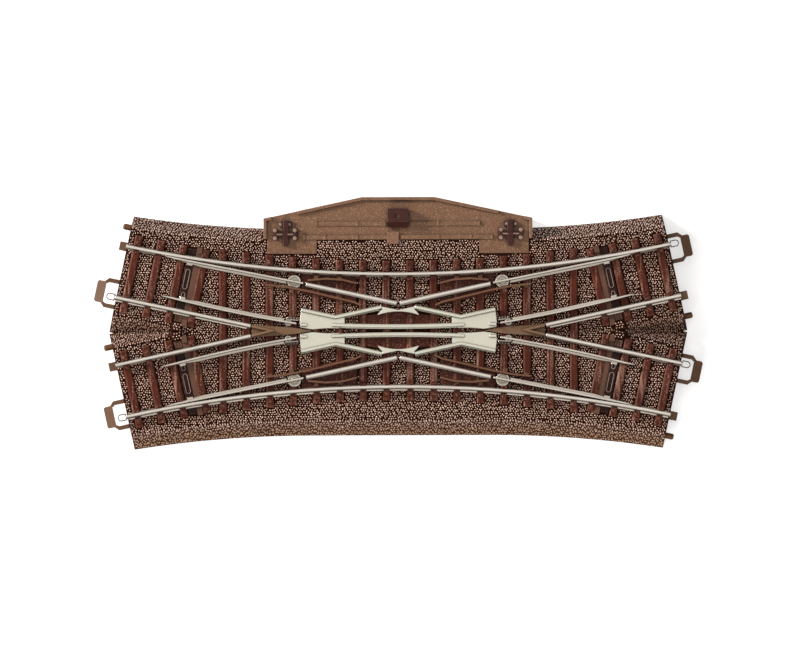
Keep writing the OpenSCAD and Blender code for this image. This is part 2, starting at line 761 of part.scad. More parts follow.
module check_rails_long() {
    color([0.55, 0.44, 0.34])
        each_quad() {
            check_run([for (p = check_long) trk(p[0], rail_off - check_gap - p[1])]);
            rotate([0, 0, half_a])
                for (s = [outer_heel_s + 0.2, outer_heel_s + 7.5])
                    block(s - foot_l / 2, s + foot_l / 2, rail_off - check_gap - 1.6, rail_off - check_gap - 0.35,
                        seat_z, seat_z + 1.3);
        }
}

module check_rails_short() {
    color([0.55, 0.44, 0.34])
        each_quad() {
            check_run([for (p = check_short) [p[0], arc_y(stock_r, p[0]) - check_gap - p[1]]]);
            for (i = [2, 3]) {
                x = timber_x(i);
                y = arc_y(stock_r, x) - check_gap;
                block(x - foot_l / 2, x + foot_l / 2, y - 0.2, y + 0.85, seat_z, seat_z + 1.1);
            }
        }
}

// A washer with a flat on the side of the long check rail.
module heel_washer(r, p) {
    translate(p)
        difference() {
            rod(r, seat_z, seat_z + washer_t);
            rod(rivet_r + turn_clear, seat_z - 1, seat_z + 2);
            translate([0, 0, seat_z + washer_t / 2])
                difference() {
                    rod(r - ring_w, 0, washer_t);
                    rod(eye_r - 0.1, -1, washer_t + 1);
                }
            rotate([0, 0, half_a])
                block(-r, r, -r, check_w / 2 + 0.15 - check_gap, seat_z - 1, seat_z + 1);
        }
}

module heel_washers() {
    color([0.78, 0.75, 0.68])
        each_quad() {
            heel_washer(outer_washer_r, outer_pivot);
            heel_washer(inner_washer_r, inner_pivot);
        }
}

module heel_rivets() {
    color([0.7, 0.68, 0.62])
        each_quad()
            for (p = [outer_pivot, inner_pivot])
                translate(p) rod(rivet_r, seat_z - rivet_depth, blade_z + 0.9);
}

module blade_eye() {
    rod(eye_r, seat_z + washer_t + 0.1, blade_z + 1);
}

module blade_eye_hole() {
    rod(rivet_r + turn_clear, seat_z - 1, blade_z + 1 - 0.02);
}

module blade_lug() {
    rod(lug_r, bar_z + 0.4, foot_z + 0.3);
    block(-1, 1, -0.6, 0.6, foot_z - 0.02, foot_z + 0.36);
}

// Room for the washer: no foot on the blade around its pivot and behind it.
module heel_relief(r) {
    rod(r + 0.4, foot_z - 1, blade_z + 0.05);
    block(-blade_tail - 1, 0, -1.5, 1.5, foot_z - 1, blade_z + 0.05);
}

module outer_blade() {
    color([0.8, 0.77, 0.7])
        translate(outer_pivot)
            rotate([0, 0, half_a + outer_rest])
                difference() {
                    union() {
                        difference() {
                            translate([-blade_tail, 0, 0])
                                bar_along(outer_len + blade_tail)
                                    polygon(blade_pts);
                            heel_relief(outer_washer_r);
                            translate([outer_len - taper_len, -blade_foot - 0.05, 0])
                                rotate([0, 0, atan2(blade_foot + 0.05, taper_len)])
                                    block(0, taper_len + 2, -3, 0, 0, top_z + 1);
                        }
                        blade_eye();
                        translate([outer_lug_d, -lug_off, 0])
                            blade_lug();
                    }
                    blade_eye_hole();
                }
}

module inner_blade() {
    a0 = beta(inner_r, inner_heel_x - blade_tail + 0.4);
    a2 = beta(inner_r, inner_tip_x);
    tip_a = beta(inner_r, inner_tip_x - taper_len);
    color([0.8, 0.77, 0.7])
        translate(inner_pivot)
            rotate([0, 0, inner_rest])
                translate(-inner_pivot)
                    difference() {
                        union() {
                            difference() {
                                translate([0, arc_cy, 0])
                                    rotate([0, 0, a0 - 90])
                                        rotate_extrude(angle = a2 - a0, $fn = arc_fn)
                                            translate([inner_r, 0])
                                                polygon(blade_pts);
                                translate(inner_pivot)
                                    rotate([0, 0, beta(inner_r, inner_heel_x)])
                                        heel_relief(inner_washer_r);
                                translate([inner_tip_x - taper_len, arc_y(inner_r, inner_tip_x - taper_len), 0])
                                    rotate([0, 0, tip_a])
                                        translate([0, blade_foot + 0.05, 0])
                                            rotate([0, 0, -atan2(blade_foot - 0.1, taper_len)])
                                                block(0, taper_len + 3, 0, 3, 0, top_z + 1);
                            }
                            translate(inner_pivot)
                                blade_eye();
                            translate(inner_lug_ref)
                                rotate([0, 0, inner_lug_turn])
                                    blade_lug();
                        }
                        translate(inner_pivot)
                            blade_eye_hole();
                    }
}

module throw_bar() {
    outer_w = lane_w(outer_lug);
    inner_w = lane_w(inner_lug);
    color([0.16, 0.13, 0.13]) {
        rotate([0, 0, half_a])
            difference() {
                block(bar_s - bar_w / 2, bar_s + bar_w / 2, -bar_in, bar_out, bar_z, bar_z + bar_t);
                for (w = [outer_w, inner_w])
                    slot([bar_s - 0.4, w], [bar_s + 0.25, w], lug_r + slide_clear, bar_z + 0.3, bed_h + 2);
            }
        translate(pin_rest)
            rod(pin_r, slide_z - 0.1, bar_z + eps);
    }
}

module bar_guides() {
    s0 = sleeper_s[sleeper_count - 1] + sleeper_w / 2 + 0.05;
    s1 = bar_s - bar_w / 2 - slide_clear;
    guide_half = sleeper_half - 0.2;
    color([0.7, 0.6, 0.46])
        each_quad()
            rotate([0, 0, half_a]) {
                block(s0, s1, -guide_half, guide_half, bed_h, bed_h + guide_h);
                for (w = [-guide_half + 0.6, guide_half - 0.6])
                    block(s0, s1, w - guide_end, w + guide_end, bed_h, seat_z + 0.4);
            }
}

module cover_wall(a, b) {
    d = b - a;
    translate(a)
        rotate([0, 0, atan2(d.y, d.x)])
            block(0, norm(d), -skirt_t, 0, 0, cover_under + eps);
}

module cover_rim(a, b) {
    d = b - a;
    translate(a)
        rotate([0, 0, atan2(d.y, d.x)])
            block(0, norm(d), -rim_w, 0, cover_z - eps, cover_z + rim_h);
}

// A moulded cable duct along X with its joint collars.
module duct(x0, x1, y, joints) {
    block(x0, x1, y, y + duct_w, cover_z - eps, cover_z + duct_h);
    for (x = joints)
        block(x - 0.35, x + 0.35, y - 0.05, y + duct_w + 0.2, cover_z - eps, cover_z + duct_h + 0.15);
}

module cover() {
    side_run = (cover_back - cover_side_y) / (cover_half - cover_back_half);
    rim_x = cover_half - rim_in;
    duct_end = cap_x - cap_half - 2;
    rim_y = cover_back - side_run * (rim_x - cover_back_half);
    color([0.72, 0.62, 0.48])
        difference() {
            union() {
                translate([0, 0, cover_under])
                    linear_extrude(cover_t)
                        polygon(cover_pts);
                // walls that stand on the ground behind the roadbed
                intersection() {
                    union() {
                        cover_wall([-cover_half, cover_side_y], [-cover_back_half, cover_back]);
                        cover_wall([-cover_back_half, cover_back], [cover_back_half, cover_back]);
                        cover_wall([cover_back_half, cover_back], [cover_half, cover_side_y]);
                        for (m = [0, 1])
                            mirror([m, 0, 0]) {
                                block(cover_half - skirt_t, cover_half, end_front - skirt_t, cover_side_y, 0, deck_z - slide_clear);
                                block(cover_half - skirt_t, cover_half, seat_y1, cover_side_y, 0, cover_under + eps);
                            }
                    }
                    linear_extrude(20)
                        polygon([
                            [-cover_half, room_y], [-cover_half, cover_side_y], [-cover_back_half, cover_back],
                            [cover_back_half, cover_back], [cover_half, cover_side_y], [cover_half, room_y]
                        ]);
                }
                // raised rim along the rear edges and the two ends
                intersection() {
                    union() {
                        cover_rim([-rim_x, rim_y], [-cover_back_half, cover_back]);
                        cover_rim([-cover_back_half, cover_back], [cover_back_half, cover_back]);
                        cover_rim([cover_back_half, cover_back], [rim_x, rim_y]);
                        for (m = [0, 1])
                            mirror([m, 0, 0]) {
                                block(cover_half - rim_w, cover_half, end_front, cover_side_y, cover_z - eps, cover_z + rim_h);
                                translate([cover_half, cover_side_y, 0])
                                    rotate([0, 0, 180 - atan(side_run)])
                                        block(0, 2.7, 0, rim_w, cover_z - eps, cover_z + rim_h);
                            }
                    }
                    linear_extrude(20)
                        polygon(cover_pts);
                }
                // moulded cable ducts
                for (m = [0, 1])
                    mirror([m, 0, 0]) {
                        duct(knob_w / 2 + 0.5, ear_x0, knob_y0 + 0.6, [ear_x0 / 2, ear_x0]);
                        duct(1, duct_end, cover_front + 0.1, [ear_x0 / 2, duct_end - 7, duct_end]);
                    }
                // latch tab on the front edge
                block(-tab_w + 0.3, 0.3, cover_front - 1.4, cover_front + 2.6, bed_h, cover_z + 0.6);
                // boss that carries the crank stud
                translate(crank_c) rod(hub_r - 0.6, crank_top + 0.1, cover_under + eps);
                translate(crank_c) rod(stud_r, crank_z - 0.1, cover_under + eps);
                // guide ribs beside the knob carriage
                for (x = [-carriage_half - 0.2 - guide_t, carriage_half + 0.2])
                    block(x, x + guide_t, seat_y1 + 0.8, cover_back - skirt_t - 0.3, crank_top + 0.3, cover_under + eps);
            }
            // knob slot
            block(-stem_w / 2 - slide_clear, stem_w / 2 + slide_clear,
                knob_y - stem_l / 2 - slide_clear, knob_y + stem_l / 2 + knob_d + slide_clear, crank_z, cover_z + 2);
            for (x = [-cap_x, cap_x])
                translate([x, cap_y]) rod(1, 0, cover_z + 1);
            translate(crank_c) rod(0.6, crank_z - 1, cover_under);
        }
}

module lantern_foot() {
    color([0.24, 0.18, 0.2]) {
        // upright, crossbar and head block, each at its own level
        block(-0.85, 0.85, -3.4, 5, cover_z, cover_z + cap_h + 0.2);
        block(-cap_half, cap_half, -0.65, 0.45, cover_z, cover_z + cap_h - 0.3);
        block(-2.1, 2.1, 2.8, 4.5, cover_z, cover_z + cap_h - 0.4);
        for (x = [-3.3, 3.3]) {
            block(x - 0.35, x + 0.35, -1, 1.6, cover_z, cover_z + cap_h - 0.3);
            for (y = [-1, 1.6])
                translate([x, y]) rod(0.7, cover_z, cover_z + cap_h + 0.3);
        }
        rod(0.95, cover_under, cover_z + eps);
    }
}

module coupling_loops() {
    lo = loop_y - loop_w / 2;
    hi = loop_y + loop_w / 2;
    bl = loop_y - loop_bar / 2;
    bh = loop_y + loop_bar / 2;
    in_x = loop_len - loop_bar_w;
    color([0.62, 0.52, 0.4])
        each_end()
            translate([0, 0, deck_z - 2.2])
                difference() {
                    linear_extrude(loop_t)
                        difference() {
                            polygon([
                                [-bed_short, lo], [in_x - 0.6, lo], [in_x + 0.7, bl], [loop_len - 0.5, bl],
                                [loop_len, bl + 0.5], [loop_len, bh - 0.5], [loop_len - 0.5, bh],
                                [in_x + 0.7, bh], [in_x - 0.6, hi], [-bed_short, hi]
                            ]);
                            polygon([
                                [-bed_short - 1, lo + loop_arm], [in_x - 0.9, lo + loop_arm], [in_x, bl + 0.6],
                                [in_x, bh - 0.6], [in_x - 0.9, hi - loop_arm], [-bed_short - 1, hi - loop_arm]
                            ]);
                        }
                    // outer bar, sloping down outward
                    translate([in_x, 0, loop_t])
                        rotate([0, atan2(loop_fall, loop_bar_w), 0])
                            block(0, loop_len, 0, 2 * loop_y, 0, loop_t);
                }
}

module coupling_tongues() {
    tongue_top = bed_h - 0.4;
    color([0.45, 0.36, 0.28])
        each_end() {
            block(-bed_short, tongue_len, -rail_off - tongue_w / 2, -rail_off + tongue_w / 2,
                tongue_top - tongue_t, tongue_top);
            block(-bed_short, tongue_len / 3, -rail_off - tongue_w / 2, -rail_off + tongue_w / 2,
                tongue_top - tongue_t - 0.8, tongue_top - tongue_t);
        }
}

// A strip bent into a U that grips the web of the rail and reaches past its end.
module joiner_springs() {
    r = foot_w / 2 + 0.35;
    z0 = seat_z + foot_h + 0.12;
    z1 = top_z - head_h - 0.15;
    color([0.82, 0.79, 0.72])
        each_end()
            translate([0, rail_off, 0])
                difference() {
                    union() {
                        translate([spring_len - r, 0, 0]) rod(r, z0, z1);
                        block(0.1, spring_len - r, -r, r, z0, z1);
                        block(-2.4, 0.4, -web_w / 2 - spring_t, web_w / 2 + spring_t, z0, z1);
                    }
                    translate([spring_len - r, 0, 0]) rod(r - spring_t, z0 - 1, z1 + 1);
                    block(0.1 + spring_t, spring_len - r, -r + spring_t, r - spring_t, z0 - 1, z1 + 1);
                    block(-3, 0.9, -web_w / 2, web_w / 2, z0 - 1, z1 + 1);
                }
}

module keeper(k) {
    color([0.3, 0.28, 0.27])
        difference() {
            block(k[1] - keeper_w / 2, k[1] + keeper_w / 2, -k[2] - boss_r - 0.6, k[2] + boss_r + 0.6, 0, keeper_t);
            for (y = [-k[2], k[2]])
                translate([k[1], y, 0]) {
                    rod(screw_r + 0.1, -1, keeper_t + 1);
                    rod(screw_head_r + 0.1, -1, 0.6);
                }
        }
}

module keeper_screws() {
    color([0.6, 0.6, 0.62])
        for (k = KEEPERS)
            for (y = [-k[2], k[2]])
                translate([k[1], y, 0]) {
                    rod(screw_head_r, 0.05, 0.6);
                    rod(screw_r, 0.6 - eps, deck_z - 0.6);
                }
}

module crank_screw() {
    color([0.6, 0.6, 0.62])
        translate(crank_c) {
            rod(stud_r + 0.9, crank_z - 0.9, crank_z - 0.1);
            rod(0.6, crank_z - 0.1 - eps, cover_under - 0.2);
        }
}

module hand_knob() {
    z0 = cover_z + duct_h + 0.1;
    z1 = cover_z + knob_h;
    color([0.27, 0.19, 0.21])
        difference() {
            union() {
                translate([-knob_w / 2, 0, 0])
                    bar_along(knob_w)
                        polygon([
                            [knob_y0, z0], [knob_y1, z0], [knob_y1, z1], [knob_y0 + knob_slope, z1], [knob_y0, z0 + 0.8]
                        ]);
                block(-stem_w / 2, stem_w / 2, knob_y - stem_l / 2, knob_y + stem_l / 2, carriage_top - carriage_t, z0 + eps);
            }
            translate([-0.4, knob_y + 0.6, z1 + 1.1])
                sphere(r = 1.4);
        }
}

module knob_carriage() {
    color([0.3, 0.28, 0.27]) {
        difference() {
            block(-carriage_half, carriage_half, knob_y - 3.4, knob_y + 2.8, carriage_top - carriage_t, carriage_top);
            block(-stem_w / 2, stem_w / 2, knob_y - stem_l / 2, knob_y + stem_l / 2, 0, cover_z);
        }
        block(-1.8, 1.8, knob_y - 1.6, knob_y + 1.6, carriage_top - carriage_t - 0.5, carriage_top - carriage_t);
        translate([0, knob_y]) rod(crank_pin_r, crank_z - 0.1, carriage_top - carriage_t - 0.5 + eps);
    }
}

module bell_crank() {
    play = crank_pin_r + turn_clear;
    color([0.3, 0.28, 0.27])
        translate(crank_c)
            rotate([0, 0, -crank_half])
                difference() {
                    union() {
                        rod(hub_r, crank_z, crank_top);
                        block(0, crank_r1, -crank_w / 2, crank_w / 2, crank_z, crank_top);
                        block(-crank_w / 2, crank_w / 2, -crank_r2, 0, crank_z, crank_top);
                        translate([crank_r1, 0]) rod(crank_w / 2, crank_z, crank_top);
                        translate([0, -crank_r2]) rod(crank_w / 2, crank_z, crank_top);
                    }
                    rod(stud_r + turn_clear, crank_z - 1, crank_top + 1);
                    slot([crank_r1 - 0.25, 0], [crank_r1 + 0.25, 0], play, crank_z - 1, crank_top + 1);
                    slot([0, -crank_r2 - 0.25], [0, -crank_r2 + 0.25], play, crank_z - 1, crank_top + 1);
                }
}

module cam_slots(side) {
    rest = [side * pin_rest.x, pin_rest.y];
    thrown = [side * pin_thrown.x - slide_d, pin_thrown.y];
    for (m = [0, 1])
        mirror([0, m, 0])
            slot(rest, thrown, pin_r + slide_clear, slide_z - 1, slide_top + 1);
}

module drive_slide() {
    color([0.34, 0.32, 0.3])
        difference() {
            union() {
                block(-cam_x0 - 6, cam_x0 + 1, -slide_w / 2, slide_w / 2, slide_z, slide_top);
                block(cam_x0, pin_rest.x + pin_r + slide_clear + 1.2, -cam_y1, cam_y1, slide_z, slide_top);
                block(-cam_x1, -pin_rest.x + pin_r + slide_clear + 1.2, -cam_y1, cam_y1, slide_z, slide_top);
                block(drive_pin.x - 2.2, drive_pin.x + 2.2, 0, drive_pin.y + 2.2, slide_z, slide_top);
                translate(drive_pin) rod(crank_pin_r, slide_top - eps, crank_top + 0.2);
            }
            cam_slots(1);
            cam_slots(-1);
        }
}

roadbed();
sleepers();
stock_rail();  // stock_rail_back
mirror([0, 1, 0]) stock_rail();  // stock_rail_front
crossing();  // crossing_back
mirror([0, 1, 0]) crossing();  // crossing_front
mirror([1, 0, 0]) frog();  // frog_left
frog();  // frog_right
check_rails_long();
check_rails_short();
heel_washers();
heel_rivets();
bar_guides();
cover();
translate([-cap_x, cap_y]) lantern_foot();  // lantern_foot_left
translate([cap_x, cap_y]) lantern_foot();  // lantern_foot_right
coupling_loops();
coupling_tongues();
joiner_springs();
keeper(KEEPERS[0]);  // keeper_center
keeper(KEEPERS[1]);  // keeper_left
keeper(KEEPERS[2]);  // keeper_right
keeper_screws();
crank_screw();
hand_knob();
knob_carriage();
bell_crank();
drive_slide();
for (q = QUADS) {
    quad(q) inner_rail();
    quad(q) closure_rail();
    quad(q) throw_bar();
    quad(q) outer_blade();
    quad(q) inner_blade();
}
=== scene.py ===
"""Dress the double slip turnout: ballast stones, sleepers, chairs, trim, finishes, studio and camera."""
from __future__ import annotations

import json
import logging
import math
from dataclasses import dataclass
from enum import Enum
from typing import Any, Sequence

import bmesh
import bpy
import numpy as np
from mathutils import Matrix, Vector

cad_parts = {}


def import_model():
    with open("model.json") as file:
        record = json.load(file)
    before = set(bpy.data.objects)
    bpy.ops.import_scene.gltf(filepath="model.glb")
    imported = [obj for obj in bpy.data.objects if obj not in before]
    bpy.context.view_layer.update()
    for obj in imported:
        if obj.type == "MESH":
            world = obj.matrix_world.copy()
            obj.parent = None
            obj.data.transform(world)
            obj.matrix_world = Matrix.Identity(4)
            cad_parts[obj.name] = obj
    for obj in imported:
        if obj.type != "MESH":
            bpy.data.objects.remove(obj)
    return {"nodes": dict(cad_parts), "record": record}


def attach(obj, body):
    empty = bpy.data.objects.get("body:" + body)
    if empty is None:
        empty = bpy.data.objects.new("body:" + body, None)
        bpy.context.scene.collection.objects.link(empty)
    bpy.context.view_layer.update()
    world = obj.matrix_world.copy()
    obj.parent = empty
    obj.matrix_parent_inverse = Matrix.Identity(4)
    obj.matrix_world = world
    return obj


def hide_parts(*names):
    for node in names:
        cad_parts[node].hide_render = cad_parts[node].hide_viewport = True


log = logging.getLogger("turnout")
MM = 0.001
Rgb = tuple[int, int, int]
Span = tuple[float, float]
Outline = tuple[Span, ...]
Point = tuple[float, float, float]
Socket = bpy.types.NodeSocket
QUADRANTS: dict[str, tuple[int, int]] = {
    "back_right": (1, 1), "back_left": (-1, 1), "front_right": (1, -1), "front_left": (-1, -1),
}


def linear(colour: Rgb) -> tuple[float, float, float, float]:
    """Turn a display colour into the linear colour that the shaders take.

    Args:
        colour: Red, green and blue from 0 to 255.

    Returns:
        Linear red, green, blue and a full alpha.
    """
    def one(value: float) -> float:
        """Linearise one channel."""
        part = value / 255
        return part / 12.92 if part <= 0.04045 else ((part + 0.055) / 1.055) ** 2.4
    return one(colour[0]), one(colour[1]), one(colour[2]), 1.0


class Surface(Enum):
    """How a finish was made, which decides the fine pattern on it."""

    MOULDED = "moulded"
    BED = "bed"
    STONE = "stone"
    TIMBER = "timber"
    DRAWN = "drawn"
    CAST = "cast"


class NodePen:
    """Draw nodes and links in one node tree."""

    def __init__(self, tree: bpy.types.NodeTree) -> None:
        """Keep the tree that is drawn in."""
        self.tree = tree

    def node(self, kind: str, **settings: Any) -> bpy.types.Node:
        """Add a node.

        Args:
            kind: Blender's name of the node type.
            **settings: Properties to set on it.

        Returns:
            The new node.
        """
        made = self.tree.nodes.new(kind)
        for name, value in settings.items():
            setattr(made, name, value)
        return made

    def join(self, socket: Socket, value: Any) -> None:
        """Give an input socket a value, or a link from an output socket.

        Args:
            socket: The input socket.
            value: The value or the output socket.
        """
        if isinstance(value, Socket):
            self.tree.links.new(value, socket)
        else:
            socket.default_value = value

    def feed(self, node: bpy.types.Node, **inputs: Any) -> bpy.types.Node:
        """Give values or links to a node's inputs.

        Args:
            node: The node that is fed.
            **inputs: Input name, with _ for a blank, and a value or an output socket.

        Returns:
            The same node.
        """
        for name, value in inputs.items():
            self.join(node.inputs[name.replace("_", " ")], value)
        return node

    def group(self, tree: bpy.types.NodeTree, **inputs: Any) -> bpy.types.Node:
        """Add a shared effect and feed its inputs."""
        return self.feed(self.node("ShaderNodeGroup", node_tree=tree), **inputs)

    def math(self, operation: str, *values: Any) -> Socket:
        """Add a math node and return its output.

        Args:
            operation: The operation's name.
            *values: Numbers or output sockets.

        Returns:
            The result socket.
        """
        made = self.node("ShaderNodeMath", operation=operation)
        for index, value in enumerate(values):
            self.join(made.inputs[index], value)
        return made.outputs[0]

    def vectors(self, operation: str, first: Any, second: Any) -> bpy.types.Node:
        """Add a math node for two vectors.

        Args:
            operation: The operation's name.
            first: First vector or socket.
            second: Second vector or socket.

        Returns:
            The new node.
        """
        made = self.node("ShaderNodeVectorMath", operation=operation)
        self.join(made.inputs[0], first)
        self.join(made.inputs[1], second)
        return made

    def mix(self, factor: Any, first: Any, second: Any) -> Socket:
        """Mix two colours.

        Args:
            factor: Share of the second colour, a number or a socket.
            first: First colour or socket.
            second: Second colour or socket.

        Returns:
            The mixed colour socket.
        """
        made = self.node("ShaderNodeMix", data_type="RGBA")
        for index, value in ((0, factor), (6, first), (7, second)):
            self.join(made.inputs[index], value)
        return made.outputs[2]

    def spread(self, value: Any, low: Any, high: Any, start: float = 0.0, end: float = 1.0) -> Socket:
        """Map a value from one range to another.

        Args:
            value: The socket that is mapped.
            low: Result at the start.
            high: Result at the end.
            start: Lowest incoming value.
            end: Highest incoming value.

        Returns:
            The mapped socket.
        """
        made = self.node("ShaderNodeMapRange")
        self.feed(made, Value=value, From_Min=start, From_Max=end, To_Min=low, To_Max=high)
        return made.outputs[0]

    def noise(self, scale: Any, detail: float, roughness: float = 0.5, place: Socket | None = None) -> Socket:
        """Add soft noise.

        Args:
            scale: How fine it is, a number or a socket.
            detail: Number of finer layers.
            roughness: Strength of the finer layers.
            place: Where it is read, or nothing for the place on the object.

        Returns:
            The noise socket.
        """
        made = self.node("ShaderNodeTexNoise")
        self.feed(made, Vector=self.place() if place is None else place, Scale=scale, Detail=detail,
                  Roughness=roughness)
        return made.outputs[0]

    def place(self) -> Socket:
        """Give the place on the object, in metres."""
        return self.node("ShaderNodeTexCoord").outputs["Object"]

    def normal(self) -> Socket:
        """Give the direction in which the surface looks."""
        return self.node("ShaderNodeNewGeometry").outputs["Normal"]

    def upward(self, vector: Socket) -> Socket:
        """Give the Z part of a vector."""
        made = self.node("ShaderNodeSeparateXYZ")
        self.join(made.inputs[0], vector)
        return made.outputs["Z"]


def open_material(name: str) -> tuple[bpy.types.Material, NodePen]:
    """Start a material with an empty tree.

    Args:
        name: Name of the material.

    Returns:
        The material and a pen for its tree.
    """
    material = bpy.data.materials.new(name)
    material.use_nodes = True
    material.node_tree.nodes.clear()
    return material, NodePen(material.node_tree)


class Effects:
    """The shared surface effects, each one a node group that is built once."""

    COLOUR = "NodeSocketColor"
    VALUE = "NodeSocketFloat"
    VECTOR = "NodeSocketVector"
    WHITE = (1.0, 1.0, 1.0, 1.0)
    STREAK_DEPTH = 900.0

    def __init__(self) -> None:
        """Build every group."""
        self.drift = self._drift()
        self.grain = self._grain()
        self.wear_and_highlight = self._wear_and_highlight()
        self.dust = self._dust()
        self.streaks = self._streaks()
        self.corner_shade = self._corner_shade()

    def _start(self, name: str, inputs: dict[str, Any], **outputs: str) -> tuple[
            NodePen, bpy.types.NodeOutputs, bpy.types.Node]:
        """Open a group with named sockets.

        Args:
            name: Name of the group.
            inputs: First value of each input, a number or a colour.
            **outputs: Socket type of each output.

        Returns:
            A pen for the group, the sockets of its input node, and its output node.
        """
        group = bpy.data.node_groups.new(name, "ShaderNodeTree")
        for label, value in inputs.items():
            kind = self.COLOUR if isinstance(value, tuple) else self.VALUE
            group.interface.new_socket(name=label, in_out="INPUT", socket_type=kind).default_value = value
        for label, kind in outputs.items():
            group.interface.new_socket(name=label, in_out="OUTPUT", socket_type=kind)
        pen = NodePen(group)
        return pen, pen.node("NodeGroupInput").outputs, pen.node("NodeGroupOutput")

    def _drift(self) -> bpy.types.NodeTree:
        """Build slow changes of tone across a surface.

        Returns:
            The group, from two colours to one.
        """
        pen, given, result = self._start("tone_drift", {
            "Colour": self.WHITE, "Dark": (0.0, 0.0, 0.0, 1.0), "Scale": 100.0, "Amount": 0.5},
            Colour=self.COLOUR)
        wide = pen.noise(given["Scale"], 4.0)
        close = pen.noise(pen.math("MULTIPLY", given["Scale"], 9.0), 2.0)
        both = pen.math("ADD", pen.math("MULTIPLY", wide, 0.65), pen.math("MULTIPLY", close, 0.35))
        share = pen.math("MULTIPLY", pen.spread(both, 0.0, 1.0, 0.32, 0.68), given["Amount"])
        pen.feed(result, Colour=pen.mix(share, given["Colour"], given["Dark"]))
        return pen.tree

    def _grain(self) -> bpy.types.NodeTree:
        """Build the fine pitting of a moulding.

        Returns:
            The group, which gives a height from 0 to 1.
        """
        pen, given, result = self._start("mould_grain", {"Scale": 900.0}, Height=self.VALUE)
        cells = pen.node("ShaderNodeTexVoronoi", feature="SMOOTH_F1")
        pen.feed(cells, Vector=pen.place(), Scale=given["Scale"], Smoothness=0.6)
        pits = pen.math("MULTIPLY", cells.outputs["Distance"], 0.5)
        cloud = pen.math("MULTIPLY", pen.noise(given["Scale"], 3.0), 0.6)
        pen.feed(result, Height=pen.math("ADD", pits, cloud))
        return pen.tree

    def _wear_and_highlight(self) -> bpy.types.NodeTree:
        """Build rubbed edges that also serve as painted highlights where edges catch the lamp, found by how
        far a rounded normal leans from the true one.

        Returns:
            The group, which gives a mask and the rounded normal.
        """
        pen, given, result = self._start("edge_wear_and_highlight", {"Radius": 0.0002, "Amount": 0.5}, Mask=self.VALUE,
                                         Normal=self.VECTOR)
        rounded = pen.feed(pen.node("ShaderNodeBevel", samples=4), Radius=given["Radius"]).outputs[0]
        lean = pen.vectors("DOT_PRODUCT", rounded, pen.normal()).outputs["Value"]
        patch = pen.spread(pen.noise(500.0, 3.0), 0.35, 1.0, 0.35, 0.6)
        rubbed_and_lit = pen.math("MULTIPLY", pen.spread(lean, 1.0, 0.0, 0.72, 0.98), patch)
        pen.feed(result, Mask=pen.math("MULTIPLY", rubbed_and_lit, given["Amount"]), Normal=rounded)
        return pen.tree

    def _dust(self) -> bpy.types.NodeTree:
        """Build the pale film that settles on faces that look up.

        Returns:
            The group, from a colour to a dusted colour.
        """
        pen, given, result = self._start("settled_dust", {
            "Colour": self.WHITE, "Dust": (0.5, 0.45, 0.4, 1.0), "Amount": 0.1}, Colour=self.COLOUR)
        level = pen.spread(pen.upward(pen.normal()), 0.0, 1.0, 0.3, 1.0)
        film = pen.math("MULTIPLY", level, pen.spread(pen.noise(250.0, 5.0, 0.65), 0.0, 1.0, 0.4, 0.72))
        share = pen.math("MULTIPLY", film, given["Amount"])
        pen.feed(result, Colour=pen.mix(share, given["Colour"], given["Dust"]))
        return pen.tree

    def _corner_shade(self) -> bpy.types.NodeTree:
        """Build painted shade that darkens corners and gaps, found by ambient occlusion.

        Returns:
            The group, from a colour to one with painted shade in corners and gaps.
        """
        pen, given, result = self._start("corner_painted_shade", {
            "Colour": self.WHITE, "Grime": (0.02, 0.01, 0.006, 1.0), "Reach": 0.0006, "Amount": 0.6},
            Colour=self.COLOUR)
        corner = pen.feed(pen.node("ShaderNodeAmbientOcclusion", samples=6), Distance=given["Reach"])
        share = pen.math("MULTIPLY", pen.spread(corner.outputs["AO"], 1.0, 0.0, 0.3, 0.85), given["Amount"])
        pen.feed(result, Colour=pen.mix(share, given["Colour"], given["Grime"]))
        return pen.tree

    def _streaks(self) -> bpy.types.NodeTree:
        """Build long fine lines along X or Y, for drawn metal and timber.

        Returns:
            The group, which gives a mask from 0 to 1.
        """
        pen, given, result = self._start("long_streaks", {"Along X": 20.0, "Along Y": 900.0}, Mask=self.VALUE)
        size = pen.node("ShaderNodeCombineXYZ")
        pen.feed(size, X=given["Along X"], Y=given["Along Y"], Z=self.STREAK_DEPTH)
        pull = pen.vectors("MULTIPLY", pen.place(), size.outputs[0])
        pen.feed(result, Mask=pen.spread(pen.noise(1.0, 4.0, 0.6, pull.outputs[0]), 0.0, 1.0, 0.3, 0.7))
        return pen.tree


